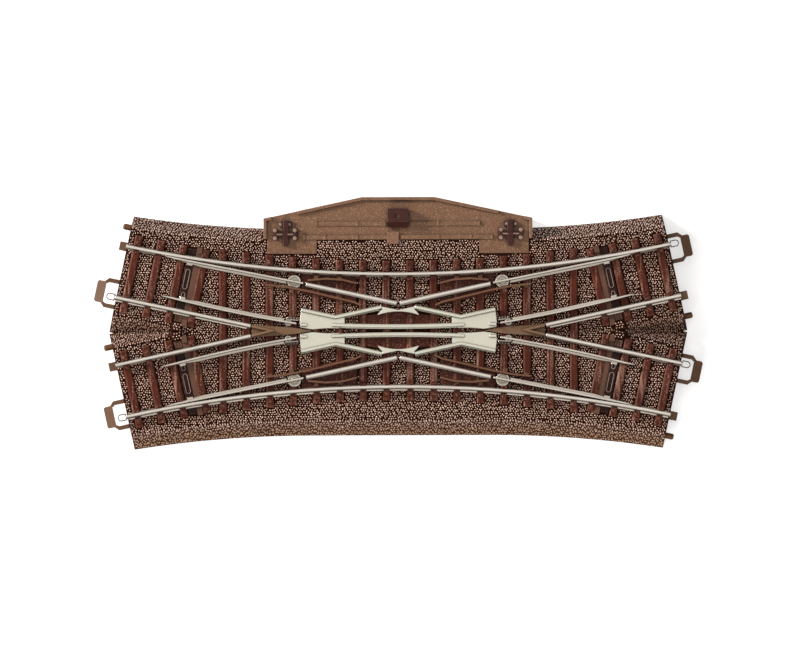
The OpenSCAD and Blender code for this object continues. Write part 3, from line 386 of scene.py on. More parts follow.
@dataclass(frozen=True)
class Finish:
    """One finish of the turnout, with all values that its material needs. Lengths are in millimetres."""

    name: str
    colour: Rgb
    dark: Rgb
    # Pale colour: rubbed edges and grain specks, also painted highlights on lit edges and stone tops.
    pale_and_highlight: Rgb
    roughness: float
    surface: Surface = Surface.MOULDED
    metallic: float = 0.0
    specular: float = 0.3
    drift_scale: float = 70.0
    drift: float = 0.5
    grain_scale: float = 2600.0
    grain_depth: float = 0.02
    bump: float = 0.35
    # Edge mask: rubbed wear and painted highlights on edges.
    wear_and_highlight: float = 0.35
    wear_and_highlight_radius: float = 0.2
    dust: float = 0.0
    dust_colour: Rgb = (176, 160, 142)
    rough_span: float = 0.12
    rough_range: Span = (0.25, 0.75)
    # Painted shade: colour of the parts below a level, such as rail webs, grooves and recesses.
    low: Rgb | None = None
    shade_level: float = 0.0
    shade_blur: float = 0.08
    shade_on_level_faces: float = 1.0
    shade_facing: Span = (0.5, 0.9)
    # Painted shade that darkens corners and gaps, found by ambient occlusion.
    corner_shade: float = 0.6
    corner_shade_reach: float = 0.6
    corner_shade_colour: Rgb = (34, 16, 10)
    speckle: float = 0.0
    speckle_light: Span = (0.56, 0.74)
    speckle_dark: Span = (0.28, 0.5)
    # Painted fill light on front shoulder stones: lighter body and softer highlight colours.
    slope: Rgb = (120, 77, 48)
    front_fill_highlight: Rgb = (208, 162, 122)
    # Painted highlight on stone tops and painted shade at stone feet, set by the rise attribute.
    stone_top_highlight: Span = (0.58, 0.98)
    stone_foot_shade: Span = (0.05, 0.68)
    least_top_highlight: float = 0.62
    # Painted shade: up-facing bed faces between the stones take the dark colour; pegs are left out.
    gap_shade_facing: Span = (0.2, 0.8)
    peg_facing: float = 0.7
    peg_level: float = 4.2
    timber_lines: Span = (900.0, 45.0)
    drawn_lines: Span = (25.0, 1400.0)
    line_share: float = 0.55

    def build(self, effects: Effects) -> bpy.types.Material:
        """Make the material.

        Args:
            effects: The shared node groups.

        Returns:
            The finished material.
        """
        material, pen = open_material(self.name)
        shader = pen.node("ShaderNodeBsdfPrincipled")
        pen.join(pen.node("ShaderNodeOutputMaterial").inputs[0], shader.outputs[0])
        pen.feed(shader, Metallic=self.metallic, Specular_IOR_Level=self.specular)
        colour = pen.group(effects.drift, Colour=linear(self.colour), Dark=linear(self.dark),
                           Scale=self.drift_scale, Amount=self.drift).outputs[0]
        height = pen.group(effects.grain, Scale=self.grain_scale).outputs[0]
        colour, height = self._pattern(pen, effects, colour, height)
        # Painted shade on the lower parts.
        if self.low is not None:
            colour = pen.mix(self._painted_shade_share(pen), colour, linear(self.low))
        if self.speckle > 0:
            light = pen.spread(height, 0.0, self.speckle, *self.speckle_light)
            shade = pen.spread(height, self.speckle, 0.0, *self.speckle_dark)
            colour = pen.mix(shade, pen.mix(light, colour, linear(self.pale_and_highlight)), linear(self.dark))
        # Rubbed edges, and painted highlights on edges.
        wear_and_highlight = pen.group(effects.wear_and_highlight, Radius=self.wear_and_highlight_radius * MM, Amount=self.wear_and_highlight)
        colour = pen.mix(wear_and_highlight.outputs[0], colour, linear(self.pale_and_highlight))
        colour = pen.group(effects.dust, Colour=colour, Dust=linear(self.dust_colour),
                           Amount=self.dust).outputs[0]
        # Painted shade in corners and gaps.
        if self.corner_shade > 0:
            colour = pen.group(effects.corner_shade, Colour=colour, Grime=linear(self.corner_shade_colour),
                               Reach=self.corner_shade_reach * MM, Amount=self.corner_shade).outputs[0]
        rough = pen.spread(height, self.roughness - self.rough_span, self.roughness + self.rough_span,
                           *self.rough_range)
        bump = pen.feed(pen.node("ShaderNodeBump"), Strength=self.bump, Distance=self.grain_depth * MM,
                        Height=height, Normal=wear_and_highlight.outputs["Normal"])
        pen.feed(shader, Base_Color=colour, Roughness=rough, Normal=bump.outputs[0])
        return material

    def _painted_shade_share(self, pen: NodePen) -> Socket:
        """Find where the painted shade of the lower parts shows.

        Args:
            pen: Pen of the material's tree.

        Returns:
            Its share, full below the level and less on level faces where the finish says so.
        """
        start, stop = (self.shade_level - self.shade_blur) * MM, (self.shade_level + self.shade_blur) * MM
        share = pen.spread(pen.upward(pen.place()), 1.0, 0.0, start, stop)
        if self.shade_on_level_faces < 1:
            flat = pen.spread(pen.upward(pen.normal()), 1.0, self.shade_on_level_faces, *self.shade_facing)
            share = pen.math("MULTIPLY", share, flat)
        return share

    def _pattern(self, pen: NodePen, effects: Effects, colour: Socket,
                 height: Socket) -> tuple[Socket, Socket]:
        """Add what belongs to the way the piece was made, and the painted highlights and shade of the stones
        and of the bed between them.

        Args:
            pen: Pen of the material's tree.
            effects: The shared node groups.
            colour: Colour so far.
            height: Height so far.

        Returns:
            The new colour and the new height.
        """
        if self.surface is Surface.STONE:
            island = pen.node("ShaderNodeNewGeometry").outputs["Random Per Island"]
            rise, front_fill_tint = (pen.node("ShaderNodeAttribute", attribute_name=name).outputs["Fac"]
                             for name in ("rise", "front_fill_tint"))
            # Painted highlight on stone tops.
            top = pen.math("MULTIPLY", pen.spread(rise, 0.0, 1.0, *self.stone_top_highlight),
                           pen.spread(island, self.least_top_highlight, 1.0))
            # Painted fill light on the front shoulder stones.
            colour = pen.mix(front_fill_tint, colour, linear(self.slope))
            # Painted shade at stone feet.
            colour = pen.mix(pen.spread(rise, 1.0, 0.0, *self.stone_foot_shade), colour, linear(self.dark))
            pale_and_highlight = pen.mix(front_fill_tint, linear(self.pale_and_highlight), linear(self.front_fill_highlight))
            return pen.mix(top, colour, pale_and_highlight), height
        if self.surface is Surface.BED:
            # Painted shade on up-facing bed faces seen between stones; pegs keep the plain colour.
            facing = pen.upward(pen.normal())
            peg = pen.math("MULTIPLY", pen.math("GREATER_THAN", facing, self.peg_facing),
                           pen.math("LESS_THAN", pen.upward(pen.place()), self.peg_level * MM))
            share = pen.math("MULTIPLY", pen.spread(facing, 0.0, 1.0, *self.gap_shade_facing),
                             pen.math("SUBTRACT", 1.0, peg))
            return pen.mix(share, colour, linear(self.dark)), height
        if self.surface in (Surface.TIMBER, Surface.DRAWN):
            along_x, along_y = self.timber_lines if self.surface is Surface.TIMBER else self.drawn_lines
            lines = pen.group(effects.streaks, Along_X=along_x, Along_Y=along_y).outputs[0]
            height = pen.math("ADD", pen.math("MULTIPLY", height, 0.5), pen.math("MULTIPLY", lines, 0.5))
            return pen.mix(pen.spread(lines, 0.0, self.line_share), colour, linear(self.dark)), height
        return colour, height


class Finishes:
    """All finishes of the turnout, built once."""

    GROUND: dict[str, Any] = {
        "surface": Surface.DRAWN, "metallic": 1.0, "wear_and_highlight": 0.1, "grain_depth": 0.002, "bump": 0.1,
        "rough_span": 0.03}
    TABLE: dict[str, Finish] = {
        # Bed: the dark colour is painted shade in the gaps between the stones.
        "bed": Finish("ballast_bed", (118, 84, 60), (50, 20, 10), (140, 108, 84), 0.8, Surface.BED, wear_and_highlight=0.1,
            grain_scale=1800, grain_depth=0.06, specular=0.1, corner_shade=0.3),
        # Stones: the pale colour is a painted highlight on the tops, the dark colour painted shade at the
        # feet.
        "stone": Finish("ballast_stone", (104, 48, 24), (38, 8, 1), (255, 221, 198), 0.22, Surface.STONE,
            drift=0.2, wear_and_highlight=0.0, specular=0.75, drift_scale=40, rough_span=0.04, corner_shade=0.0),
        # Sleepers: the pale edge colour is rubbed wear and a painted highlight on the lit chamfers.
        "sleeper": Finish("sleeper_brown", (102, 46, 30), (54, 20, 11), (236, 190, 166), 0.46, Surface.TIMBER,
            wear_and_highlight=0.8, wear_and_highlight_radius=0.3, grain_scale=2200, grain_depth=0.04, specular=0.1, corner_shade=0.7,
            speckle=0.3),
        "chair": Finish("chair_brown", (88, 37, 24), (42, 14, 7), (214, 168, 146), 0.42, wear_and_highlight=0.7,
            wear_and_highlight_radius=0.25, grain_scale=2200, specular=0.12, corner_shade=0.8, speckle=0.25),
        # Rails, closure rails and blades: the low colour is painted shade on webs and feet; pale edges are
        # partly painted highlights.
        "rail": Finish("drawn_rail", (228, 219, 207), (206, 196, 184), (244, 238, 230), 0.22, wear_and_highlight_radius=0.5,
            low=(112, 97, 84), shade_level=9.2, shade_on_level_faces=0.85, corner_shade=0.9, corner_shade_reach=0.8, **GROUND),
        "closure": Finish("closure_rail_bright", (230, 221, 210), (206, 196, 184), (248, 242, 234), 0.22,
            wear_and_highlight_radius=0.5, low=(126, 110, 97), shade_level=9.2, shade_on_level_faces=0.6, **GROUND),
        "blade": Finish("ground_blade", (218, 209, 196), (192, 181, 168), (240, 233, 224), 0.23,
            wear_and_highlight_radius=0.3, low=(128, 112, 99), shade_level=9.7, shade_on_level_faces=0.3, **GROUND),
        # Washer: the low colour is painted shade in the groove.
        "washer": Finish("pressed_washer", (214, 206, 192), (170, 160, 146), (230, 224, 214), 0.36,
            Surface.CAST, metallic=1.0, wear_and_highlight=0.3, grain_depth=0.006, bump=0.25, low=(176, 166, 150),
            shade_level=8.3),
        "cast": Finish("plated_casting", (220, 216, 200), (200, 194, 177), (248, 246, 240), 0.33,
            Surface.CAST, metallic=1.0, wear_and_highlight=0.1, wear_and_highlight_radius=0.35, grain_depth=0.008, bump=0.25, drift=0.3,
            corner_shade=1.0, corner_shade_reach=0.9),
        "flange": Finish("rail_flange", (238, 228, 214), (212, 201, 186), (240, 232, 220), 0.32,
            Surface.DRAWN, metallic=1.0, wear_and_highlight=0.2, wear_and_highlight_radius=0.1, grain_depth=0.002, bump=0.1, corner_shade=0.85,
            corner_shade_reach=0.8),
        "spring": Finish("spring_wire", (112, 102, 94), (80, 70, 62), (160, 150, 140), 0.4, Surface.CAST,
            metallic=1.0, wear_and_highlight=0.2, wear_and_highlight_radius=0.1, grain_depth=0.004, corner_shade=0.3),
        # Cover: the low colour is painted shade on the plate and ducts below the rim and collars.
        "tan": Finish("tan_moulding", (136, 99, 77), (92, 61, 41), (196, 158, 130), 0.5, wear_and_highlight=0.8,
            wear_and_highlight_radius=0.4, dust=0.03, grain_scale=2700, grain_depth=0.08, bump=0.7, specular=0.25,
            corner_shade=1.0, corner_shade_reach=1.2, low=(122, 87, 64), shade_level=7.83, speckle=0.4),
        # Guide strips: own tan, darkened by painted shade.
        "guide": Finish("guide_tan_shaded", (108, 74, 57), (84, 53, 39), (172, 136, 114), 0.5, wear_and_highlight=0.5,
            specular=0.25),
        "loop": Finish("coupling_tan", (106, 78, 57), (88, 61, 43), (156, 126, 102), 0.5, wear_and_highlight=0.45,
            specular=0.25),
        "frog": Finish("frog_tan", (132, 101, 75), (112, 82, 58), (190, 160, 134), 0.48, wear_and_highlight=0.5, dust=0.03,
            specular=0.25, corner_shade=0.85, corner_shade_reach=0.8),
        "check": Finish("check_rail_tan", (116, 78, 57), (88, 55, 38), (186, 148, 122), 0.42, wear_and_highlight=0.6),
        "bar": Finish("throw_bar_dark", (50, 26, 22), (28, 12, 9), (150, 122, 112), 0.42, wear_and_highlight=0.7,
            wear_and_highlight_radius=0.3, specular=0.12),
        # Eyelet rim: paler than the bar, a painted highlight on the raised rim.
        "eyelet": Finish("eyelet_rim_highlight", (150, 124, 112), (112, 84, 74), (206, 184, 170), 0.4, wear_and_highlight=0.7,
            corner_shade=0.2),
        # Pale studs and ridges: painted highlight on the lantern feet's raised parts.
        "boss": Finish("boss_highlight_mauve", (160, 131, 116), (116, 88, 75), (214, 190, 174), 0.4, wear_and_highlight=0.6,
            specular=0.25, corner_shade=0.3),
        "knob": Finish("knob_plum", (68, 36, 30), (44, 21, 17), (176, 142, 128), 0.42, wear_and_highlight=0.85,
            wear_and_highlight_radius=0.25, specular=0.2, corner_shade=0.7),
        "link": Finish("linkage_dark", (70, 62, 58), (46, 40, 38), (120, 110, 102), 0.55, wear_and_highlight=0.4, dust=0.1),
        "screw": Finish("zinc_screw", (186, 186, 190), (140, 140, 146), (220, 220, 222), 0.35, Surface.CAST,
            metallic=1.0, wear_and_highlight=0.3, dust=0.02, grain_depth=0.005),
    }

    def __init__(self) -> None:
        """Build the node groups and every material."""
        effects = Effects()
        self.made: dict[str, bpy.types.Material] = {
            key: one.build(effects) for key, one in self.TABLE.items()}

    def put(self, obj: bpy.types.Object, key: str) -> None:
        """Give an object one finish on all its faces."""
        obj.data.materials.clear()
        obj.data.materials.append(self.made[key])

    def dress(self, nodes: dict[str, bpy.types.Object], key: str, starts: tuple[str, ...]) -> None:
        """Give a finish to every CAD node whose name starts with one of the words.

        Args:
            nodes: The CAD nodes by name.
            key: The finish.
            starts: Beginnings of node names.
        """
        for name, obj in nodes.items():
            if name.startswith(starts):
                if not obj.material_slots:
                    obj.data.materials.append(None)
                for slot in obj.material_slots:
                    slot.material = self.made[key]
                log.info("dressed %s with %s", name, key)


def chamfered(left: float, right: float, low: float, high: float, cut: float, drop: float) -> Outline:
    """Give a rectangle with two broken upper corners.

    Args:
        left: Its left side.
        right: Its right side.
        low: Its foot.
        high: Its top.
        cut: Width of the broken corners.
        drop: Height of the broken corners.

    Returns:
        Six corners, anticlockwise from the lower left.
    """
    return ((left, low), (right, low), (right, high - drop), (right - cut, high), (left + cut, high),
            (left, high - drop))


class Maker:
    """Collect points and faces in millimetres and turn them into one piece."""

    def __init__(self) -> None:
        """Start with nothing."""
        self.points: list[Point] = []
        self.faces: list[tuple[int, ...]] = []

    def add(self, points: Sequence[Point], faces: Sequence[Sequence[int]],
            place: Matrix | None = None) -> None:
        """Add one closed shape.

        Args:
            points: Its points.
            faces: Its faces, by point number, seen anticlockwise from outside.
            place: Where it goes, or nothing for where it is. A mirroring place turns the faces over.
        """
        start = len(self.points)
        flip = place is not None and place.determinant() < 0
        for point in points:
            self.points.append(tuple(place @ Vector(point)) if place is not None else tuple(point))
        for face in faces:
            order = reversed(face) if flip else face
            self.faces.append(tuple(start + index for index in order))

    def loft(self, rings: Sequence[Sequence[Point]], place: Matrix | None = None) -> None:
        """Add a solid through rings with the same number of points.

        Args:
            rings: The rings from first to last, each anticlockwise seen from the last end.
            place: Where the solid goes.
        """
        count = len(rings[0])
        points = [point for ring in rings for point in ring]
        faces: list[tuple[int, ...]] = [tuple(reversed(range(count)))]
        for level in range(len(rings) - 1):
            low = level * count
            for index in range(count):
                after = (index + 1) % count
                faces.append((low + index, low + after, low + count + after, low + count + index))
        faces.append(tuple(range((len(rings) - 1) * count, len(rings) * count)))
        self.add(points, faces, place)

    def bar(self, section: Sequence[Span], ends: Sequence[float], place: Matrix | None = None) -> None:
        """Add a straight bar along X.

        Args:
            section: Across and up of its outline.
            ends: Where it starts and where it stops.
            place: Where the bar goes.
        """
        self.loft([[(along, across, up) for across, up in section] for along in ends], place)

    def turned(self, profile: Sequence[Span], steps: int, place: Matrix | None = None) -> None:
        """Add a round solid that stands on Z.

        Args:
            profile: Radius and level of each ring, from the bottom.
            steps: Points on a ring.
            place: Where the solid goes.
        """
        turns = [2 * math.pi * step / steps for step in range(steps)]
        self.loft([[(math.cos(turn) * size, math.sin(turn) * size, up) for turn in turns]
                   for size, up in profile], place)

    def piece(self, name: str, body: str, slot: str, smooth: bool = False,
              mend: bool = True) -> bpy.types.Object:
        """Make the Blender object and let it ride.

        Args:
            name: Name of the piece.
            body: The CAD body that carries it.
            slot: Not used.
            smooth: Whether its faces are shaded smooth.
            mend: Whether all faces are turned outward once more.

        Returns:
            The new object.
        """
        mesh = bpy.data.meshes.new(name)
        mesh.from_pydata([(x * MM, y * MM, z * MM) for x, y, z in self.points], [], self.faces)
        if mend:
            work = bmesh.new()
            work.from_mesh(mesh)
            bmesh.ops.recalc_face_normals(work, faces=work.faces)
            work.to_mesh(mesh)
            work.free()
        mesh.polygons.foreach_set("use_smooth", [smooth] * len(mesh.polygons))
        mesh.update()
        obj = bpy.data.objects.new(name, mesh)
        bpy.context.scene.collection.objects.link(obj)
        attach(obj, body)
        log.info("built %s, %d faces", name, len(self.faces))
        return obj


@dataclass(frozen=True)
class TrackPlan:
    """Sizes of the turnout that the dressing follows, in millimetres and degrees."""

    half_angle: float = 12.15
    half_length: float = 94.15
    slip_radius: float = 437.3
    rail_offset: float = 8.7
    bed_height: float = 7.0
    seat_height: float = 8.0
    sleeper_width: float = 2.5
    sleeper_half: float = 13.1
    sleeper_stations: tuple[float, ...] = (90.6, 83.0, 75.4, 67.8)
    timber_pitch: float = 7.75
    timber_count: int = 8
    timber_start: float = 0.51
    timber_over: float = 4.5
    bar_station: float = 72.3
    inner_heel: Span = (36.5, 2.816)

    @property
    def angle(self) -> float:
        """Half of the crossing angle in radians."""
        return math.radians(self.half_angle)

    @property
    def arc_centre(self) -> float:
        """Distance of the slip curve centres from the axis."""
        return self.slip_radius / math.cos(self.angle)

    def stock_y(self, x: float) -> float:
        """Give the distance of an outer stock rail from the axis at x."""
        radius = self.slip_radius - self.rail_offset
        return self.arc_centre - math.sqrt(radius * radius - x * x)

    def timbers(self) -> list[Span]:
        """List the long timbers as x and half length."""
        spots = [side * self.timber_pitch * (index + self.timber_start)
                 for side in (-1, 1) for index in range(self.timber_count)]
        return [(x, self.stock_y(abs(x)) + self.timber_over) for x in spots]

    def lane(self, quadrant: str) -> Matrix:
        """Give the place of a quadrant's track lane, which has its origin at the crossing centre."""
        return self.mirror(quadrant) @ Matrix.Rotation(self.angle, 4, "Z")

    def mirror(self, quadrant: str) -> Matrix:
        """Give the mirroring that takes the back right quadrant to another."""
        side_x, side_y = QUADRANTS[quadrant]
        return Matrix.Diagonal((side_x, side_y, 1, 1))


class Assembly:
    """What all sub-assemblies share: finishes, and the starts of the CAD node names that wear them."""

    WORN: dict[str, tuple[str, ...]] = {}
    finishes: Finishes

    def build(self) -> None:
        """Build the pieces that only the scene has."""
        raise NotImplementedError

    def dress(self, nodes: dict[str, bpy.types.Object]) -> None:
        """Give every CAD node of the sub-assembly its finish."""
        for key, starts in self.WORN.items():
            self.finishes.dress(nodes, key, starts)


@dataclass
class BallastBed(Assembly):
    """The roadbed and the moulded stones that cover it. Drive zones and hoods are given in lane places."""

    WORN = {"bed": ("roadbed",)}
    plan: TrackPlan
    finishes: Finishes
    spacing: float = 0.84
    stone_radius: float = 0.44
    stone_height: float = 0.47
    stone_gap: float = 0.32
    stone_turn: float = 0.22
    stone_shift: float = 0.1
    stone_lengths: Span = (0.88, 1.16)
    stone_corners: Span = (0.85, 1.1)
    stone_sizes: Span = (0.8, 1.12)
    stone_heights: Span = (0.75, 1.2)
    stone_rings: Outline = ((1.0, -0.1), (0.84, 0.52), (0.46, 0.88))
    # Painted light share of each ring, from shaded foot to highlighted top.
    ring_light_share: tuple[float, ...] = (0.0, 0.4, 0.8)
    level_normal: float = 0.9
    jitter: float = 0.18
    slope_slip: Span = (1.3, 3.0)
    deck_half: Span = (97.0, 40.0)
    shoulder_run: float = 4.4
    mid_half: float = 34.3
    mid_straight: float = 30.0
    flare_radius: float = 374.0
    valley_half: float = 19.9
    valley_run: float = 5.3
    valley_start: float = 66.0
    valley_foot: float = 0.45
    valley_gap: float = 0.4
    valley_floor: Span = (70.0, 94.0)
    floor_pitch: float = 0.95
    slope_end: float = 93.0
    slope_foot: float = 0.72
    slope_pitch: float = 0.86
    slope_stretch: float = 1.6
    # Painted fill light on the front shoulder: less painted shade at the stone feet.
    front_fill_gap_light: float = 0.2
    rim_row: float = 0.15
    rim_gap: float = 0.66
    rim_lean: float = 0.4
    break_band: float = 0.9
    break_gap: float = 0.53
    # Painted shade in the valleys: darker stone feet and dimmer tops.
    valley_light_share: Span = (0.08, 0.92)
    # Width over which the front shoulder's painted fill light fades in.
    front_fill_run: float = 2.2
    foot_row: float = 0.66
    fill_tries: int = 70000
    fill_gap: float = 0.63
    fill_half: Span = (96.0, 40.0)
    fill_level: float = 0.12
    hood_top: float = 8.15
    hood_floor: float = 6.7
    hood_sides: Span = (70.62, 73.98)
    hood_ends: tuple[float, ...] = (-12.45, -12.95, -15.0, -15.25)
    hood_cut: float = 0.2
    hood_drop: float = 0.25
    hood_rows: tuple[float, ...] = (-14.75, -13.9, -13.05)
    hood_columns: tuple[float, ...] = (70.95, 71.9, 72.85)
    hood_shift: float = 0.4
    tunnel_sides: Span = (70.88, 73.72)
    tunnel_top: float = 7.82
    roof_sides: Span = (70.95, 73.7)
    roof_drop: float = 0.15
    lowest: float = 0.03
    bed_end: float = 93.4
    cover_half: float = 44.9
    cover_front: float = 29.9
    cover_seat: float = 32.0
    ear_front: float = 25.3
    ears: Span = (26.6, 43.8)
    drive_zones: tuple[tuple[float, float, float, float], ...] = (
        (70.6, 74.1, -15.9, 13.1), (70.1, 74.5, -15.9, -12.9), (68.8, 71.0, -13.3, 13.3))
    plate_run: Span = (13.5, 32.5)
    plate_side: float = 5.4
    plate_over: float = 0.5
    middle_plate: Span = (11.0, 6.6)
    rail_reach: float = 90.0
    zone_split: float = 45.0
    seed: int = 41
    sides: int = 6

    @property
    def row(self) -> float:
        """Distance between two rows of stones."""
        return self.spacing * math.sqrt(3) / 2

    def slope(self, run: float) -> Span:
        """Give how far the normal of a slope of this width looks outward and upward."""
        length = math.hypot(self.plan.bed_height, run)
        return self.plan.bed_height / length, run / length

    def lanes(self, at: np.ndarray) -> list[tuple[np.ndarray, np.ndarray]]:
        """Give lane coordinates of points for both arms, folded into the right half.

        Args:
            at: Points, one row each.

        Returns:
            Along and across for the back arm and for the front arm.
        """
        cos, sin = math.cos(self.plan.angle), math.sin(self.plan.angle)
        x = np.abs(at[:, 0])
        return [(x * cos + sign * at[:, 1] * sin, -x * sin + sign * at[:, 1] * cos) for sign in (1, -1)]

    def edge_depth(self, at: np.ndarray) -> np.ndarray:
        """Give the distance of points from the long edges, positive inside."""
        x, y = np.abs(at[:, 0]), np.abs(at[:, 1])
        swept = np.hypot(x - self.mid_straight, y - self.mid_half - self.flare_radius) - self.flare_radius
        depth = np.where(x < self.mid_straight, self.mid_half - y, swept)
        seat = (x < self.cover_half) & (at[:, 1] > 0) & (at[:, 1] < self.cover_seat)
        return np.where(seat, np.maximum(depth, self.shoulder_run + 1), depth)

    def arm_depth(self, at: np.ndarray) -> np.ndarray:
        """Give the distance of points from the top of the valley slopes, positive inside."""
        return np.maximum(*[across + self.valley_half - self.valley_run for _, across in self.lanes(at)])

    def free(self, at: np.ndarray) -> np.ndarray:
        """Say where a stone may stand.

        Args:
            at: Points, one row each.

        Returns:
            True where neither a sleeper, the points' drive, the cover nor a plate is in the way.
        """
        plan, gap = self.plan, self.stone_gap
        x, y = np.abs(at[:, 0]), np.abs(at[:, 1])
        keep = np.ones(len(at), bool)
        for along, across in self.lanes(at):
            keep &= along < self.bed_end
            for station in plan.sleeper_stations:
                keep &= ~((np.abs(along - station) < plan.sleeper_width / 2 + gap)
                          & (np.abs(across) < plan.sleeper_half + gap))
            for start, stop, near, far in self.drive_zones:
                keep &= ~((along > start) & (along < stop) & (across > near) & (across < far))
        for spot, half in plan.timbers():
            keep &= ~((np.abs(at[:, 0] - spot) < plan.sleeper_width / 2 + gap) & (y < half + gap))
        front = np.where((x > self.ears[0]) & (x < self.ears[1]), self.ear_front, self.cover_front)
        keep &= ~((x < self.cover_half) & (at[:, 1] > front))
        rail = np.array([plan.stock_y(min(value, self.rail_reach)) for value in x])
        _, across = self.lanes(np.abs(at))[0]
        keep &= ~((x > self.plate_run[0]) & (x < self.plate_run[1]) & (across > self.plate_side)
                  & (y < rail + self.plate_over))
        return keep & ~((x < self.middle_plate[0]) & (y < self.middle_plate[1]))

    def deck_spots(self, rng: np.random.Generator) -> tuple[np.ndarray, np.ndarray]:
        """Scatter stones over the level deck.

        Args:
            rng: Source of the scatter.

        Returns:
            Places and surface normals.
        """
        wide, deep = self.deck_half
        ys = np.arange(-deep, deep, self.row)
        xs = np.arange(-wide, wide, self.spacing)
        grid = np.array([(x + (index % 2) * self.spacing / 2, y) for index, y in enumerate(ys) for x in xs])
        grid += rng.uniform(-self.jitter, self.jitter, grid.shape)
        depth = np.minimum(self.edge_depth(grid) - self.shoulder_run, self.arm_depth(grid))
        grid = grid[(depth > self.rim_gap) & self.free(grid)]
        places = np.column_stack([grid, np.full(len(grid), self.plan.bed_height)])
        return places, np.tile((0.0, 0.0, 1.0), (len(grid), 1))

    def four(self, x: float, y: float, share: float, lean: Vector) -> list[tuple[Point, Point]]:
        """Put a stone on a slope of each quadrant.

        Args:
            x: Place along X in the back right quadrant.
            y: Place along Y there.
            share: Level there, as a share of the bed's height.
            lean: Surface normal there.

        Returns:
            Place and surface normal in each quadrant.
        """
        level = self.plan.bed_height * min(1.0, share)
        return [((side_x * x, side_y * y, level), (side_x * lean.x, side_y * lean.y, lean.z))
                for side_x, side_y in QUADRANTS.values()]

    def slope_spots(self, rng: np.random.Generator) -> tuple[np.ndarray, np.ndarray]:
        """Scatter stones over the sloping shoulders and the two valleys.

        Args:
            rng: Source of the scatter.

        Returns:
            Places and surface normals.
        """
        spots: list[tuple[Point, Point]] = []
        step = self.row * self.slope_pitch
        out, up = self.slope(self.shoulder_run)
        rows = round((self.shoulder_run + self.rim_row - self.foot_row) / step) + 1
        for index, depth in enumerate(np.linspace(self.foot_row, self.shoulder_run + self.rim_row, rows)):
            for run in np.arange(0, self.slope_end, self.spacing) + (index % 2) * self.spacing / 2:
                turn = max(0.0, run - self.mid_straight) / self.flare_radius
                x = min(run, self.mid_straight) + (self.flare_radius + depth) * math.sin(turn)
                y = self.mid_half + self.flare_radius - (self.flare_radius + depth) * math.cos(turn)
                steep = self.rim_lean if depth > self.shoulder_run - self.rim_gap / 2 else 1.0
                lean = Vector((-math.sin(turn) * out * steep, math.cos(turn) * out * steep, up)).normalized()
                spots += self.four(x, y, depth / self.shoulder_run, lean)
        out, up = self.slope(self.valley_run)
        turned = Matrix.Rotation(self.plan.angle, 3, "Z")
        lean = turned @ Vector((0, -out, up))
        rows = round((self.valley_run + self.rim_row - self.valley_foot) / step) + 1
        for index, depth in enumerate(np.linspace(self.valley_foot, self.valley_run + self.rim_row, rows)):
            shift = (index % 2) * self.spacing / 2
            for run in np.arange(self.valley_start, self.bed_end, self.spacing) + shift:
                spot = turned @ Vector((run, depth - self.valley_half, 0))
                if spot.y >= self.valley_gap:
                    spots += self.four(spot.x, spot.y, depth / self.valley_run, lean)
        for x in np.arange(*self.valley_floor, self.spacing * self.floor_pitch):
            depth = self.valley_half - x * math.sin(self.plan.angle)
            if self.valley_gap < depth < self.valley_run:
                level = self.plan.bed_height * depth / self.valley_run
                spots += [((side * x, 0.0, level), (0.0, 0.0, 1.0)) for side in (1, -1)]
        at, leans = (np.array(values) for values in zip(*spots))
        slip = rng.uniform(-self.jitter, self.jitter, (len(at), 2)) * self.slope_slip
        along = np.column_stack([leans[:, 1], -leans[:, 0], np.zeros(len(at))])
        at = at + along * slip[:, :1] + np.cross(leans, along) * slip[:, 1:]
        seat = (np.abs(at[:, 0]) < self.cover_half) & (at[:, 1] > 0)
        keep = self.free(at) & (at[:, 2] > self.slope_foot) & ~seat
        return at[keep], leans[keep]

    def hood_spots(self) -> tuple[np.ndarray, np.ndarray]:
        """Place stones on the four hoods over the ends of the throw bar channels.

        Returns:
            Places and surface normals.
        """
        spots = [Vector((along + (row % 2) * self.hood_shift, across, self.hood_top))
                 for row, across in enumerate(self.hood_rows) for along in self.hood_columns]
        places = [tuple(self.plan.lane(quadrant) @ spot) for quadrant in QUADRANTS for spot in spots]
        return np.array(places), np.tile((0.0, 0.0, 1.0), (len(places), 1))

    def fill_spots(self, taken: np.ndarray, rng: np.random.Generator) -> tuple[np.ndarray, np.ndarray]:
        """Drop more stones into the gaps that the rows leave.

        Args:
            taken: Places of the stones so far.
            rng: Source of the tries.

        Returns:
            Places and surface normals of the new stones.
        """
        tries = np.column_stack([rng.uniform(-half, half, self.fill_tries) for half in self.fill_half])
        edge, arm = self.edge_depth(tries), self.arm_depth(tries)
        level = np.minimum(1.0, np.minimum(edge / self.shoulder_run, 1 + arm / self.valley_run))
        flat = level >= 1.0
        outward = np.where(np.abs(tries[:, 0]) < self.mid_straight, 0.0, np.sign(tries[:, 0]) * (
            self.mid_straight - np.abs(tries[:, 0])) / self.flare_radius)
        out, up = self.slope(self.shoulder_run)
        slopes = np.column_stack([outward * out, np.sign(tries[:, 1]) * out, np.full(len(tries), up)])
        leans = np.where(flat[:, None], (0.0, 0.0, 1.0), slopes)
        on_edge = edge / self.shoulder_run < 1 + arm / self.valley_run
        seat = (np.abs(tries[:, 0]) < self.cover_half) & (tries[:, 1] > 0) & ~flat
        allowed = self.free(tries) & (level > self.fill_level) & (flat | on_edge) & ~seat
        at_break = np.abs(edge - self.shoulder_run) < self.break_band
        room = np.where(at_break, self.break_gap, self.fill_gap) ** 2
        around = [(side, step) for side in (-1, 0, 1) for step in (-1, 0, 1)]
        cells: dict[tuple[int, int], list[Span]] = {}
        for x, y, _ in taken:
            cells.setdefault((int(x // self.fill_gap), int(y // self.fill_gap)), []).append((x, y))
        chosen: list[int] = []
        for index in np.flatnonzero(allowed):
            x, y = tries[index]
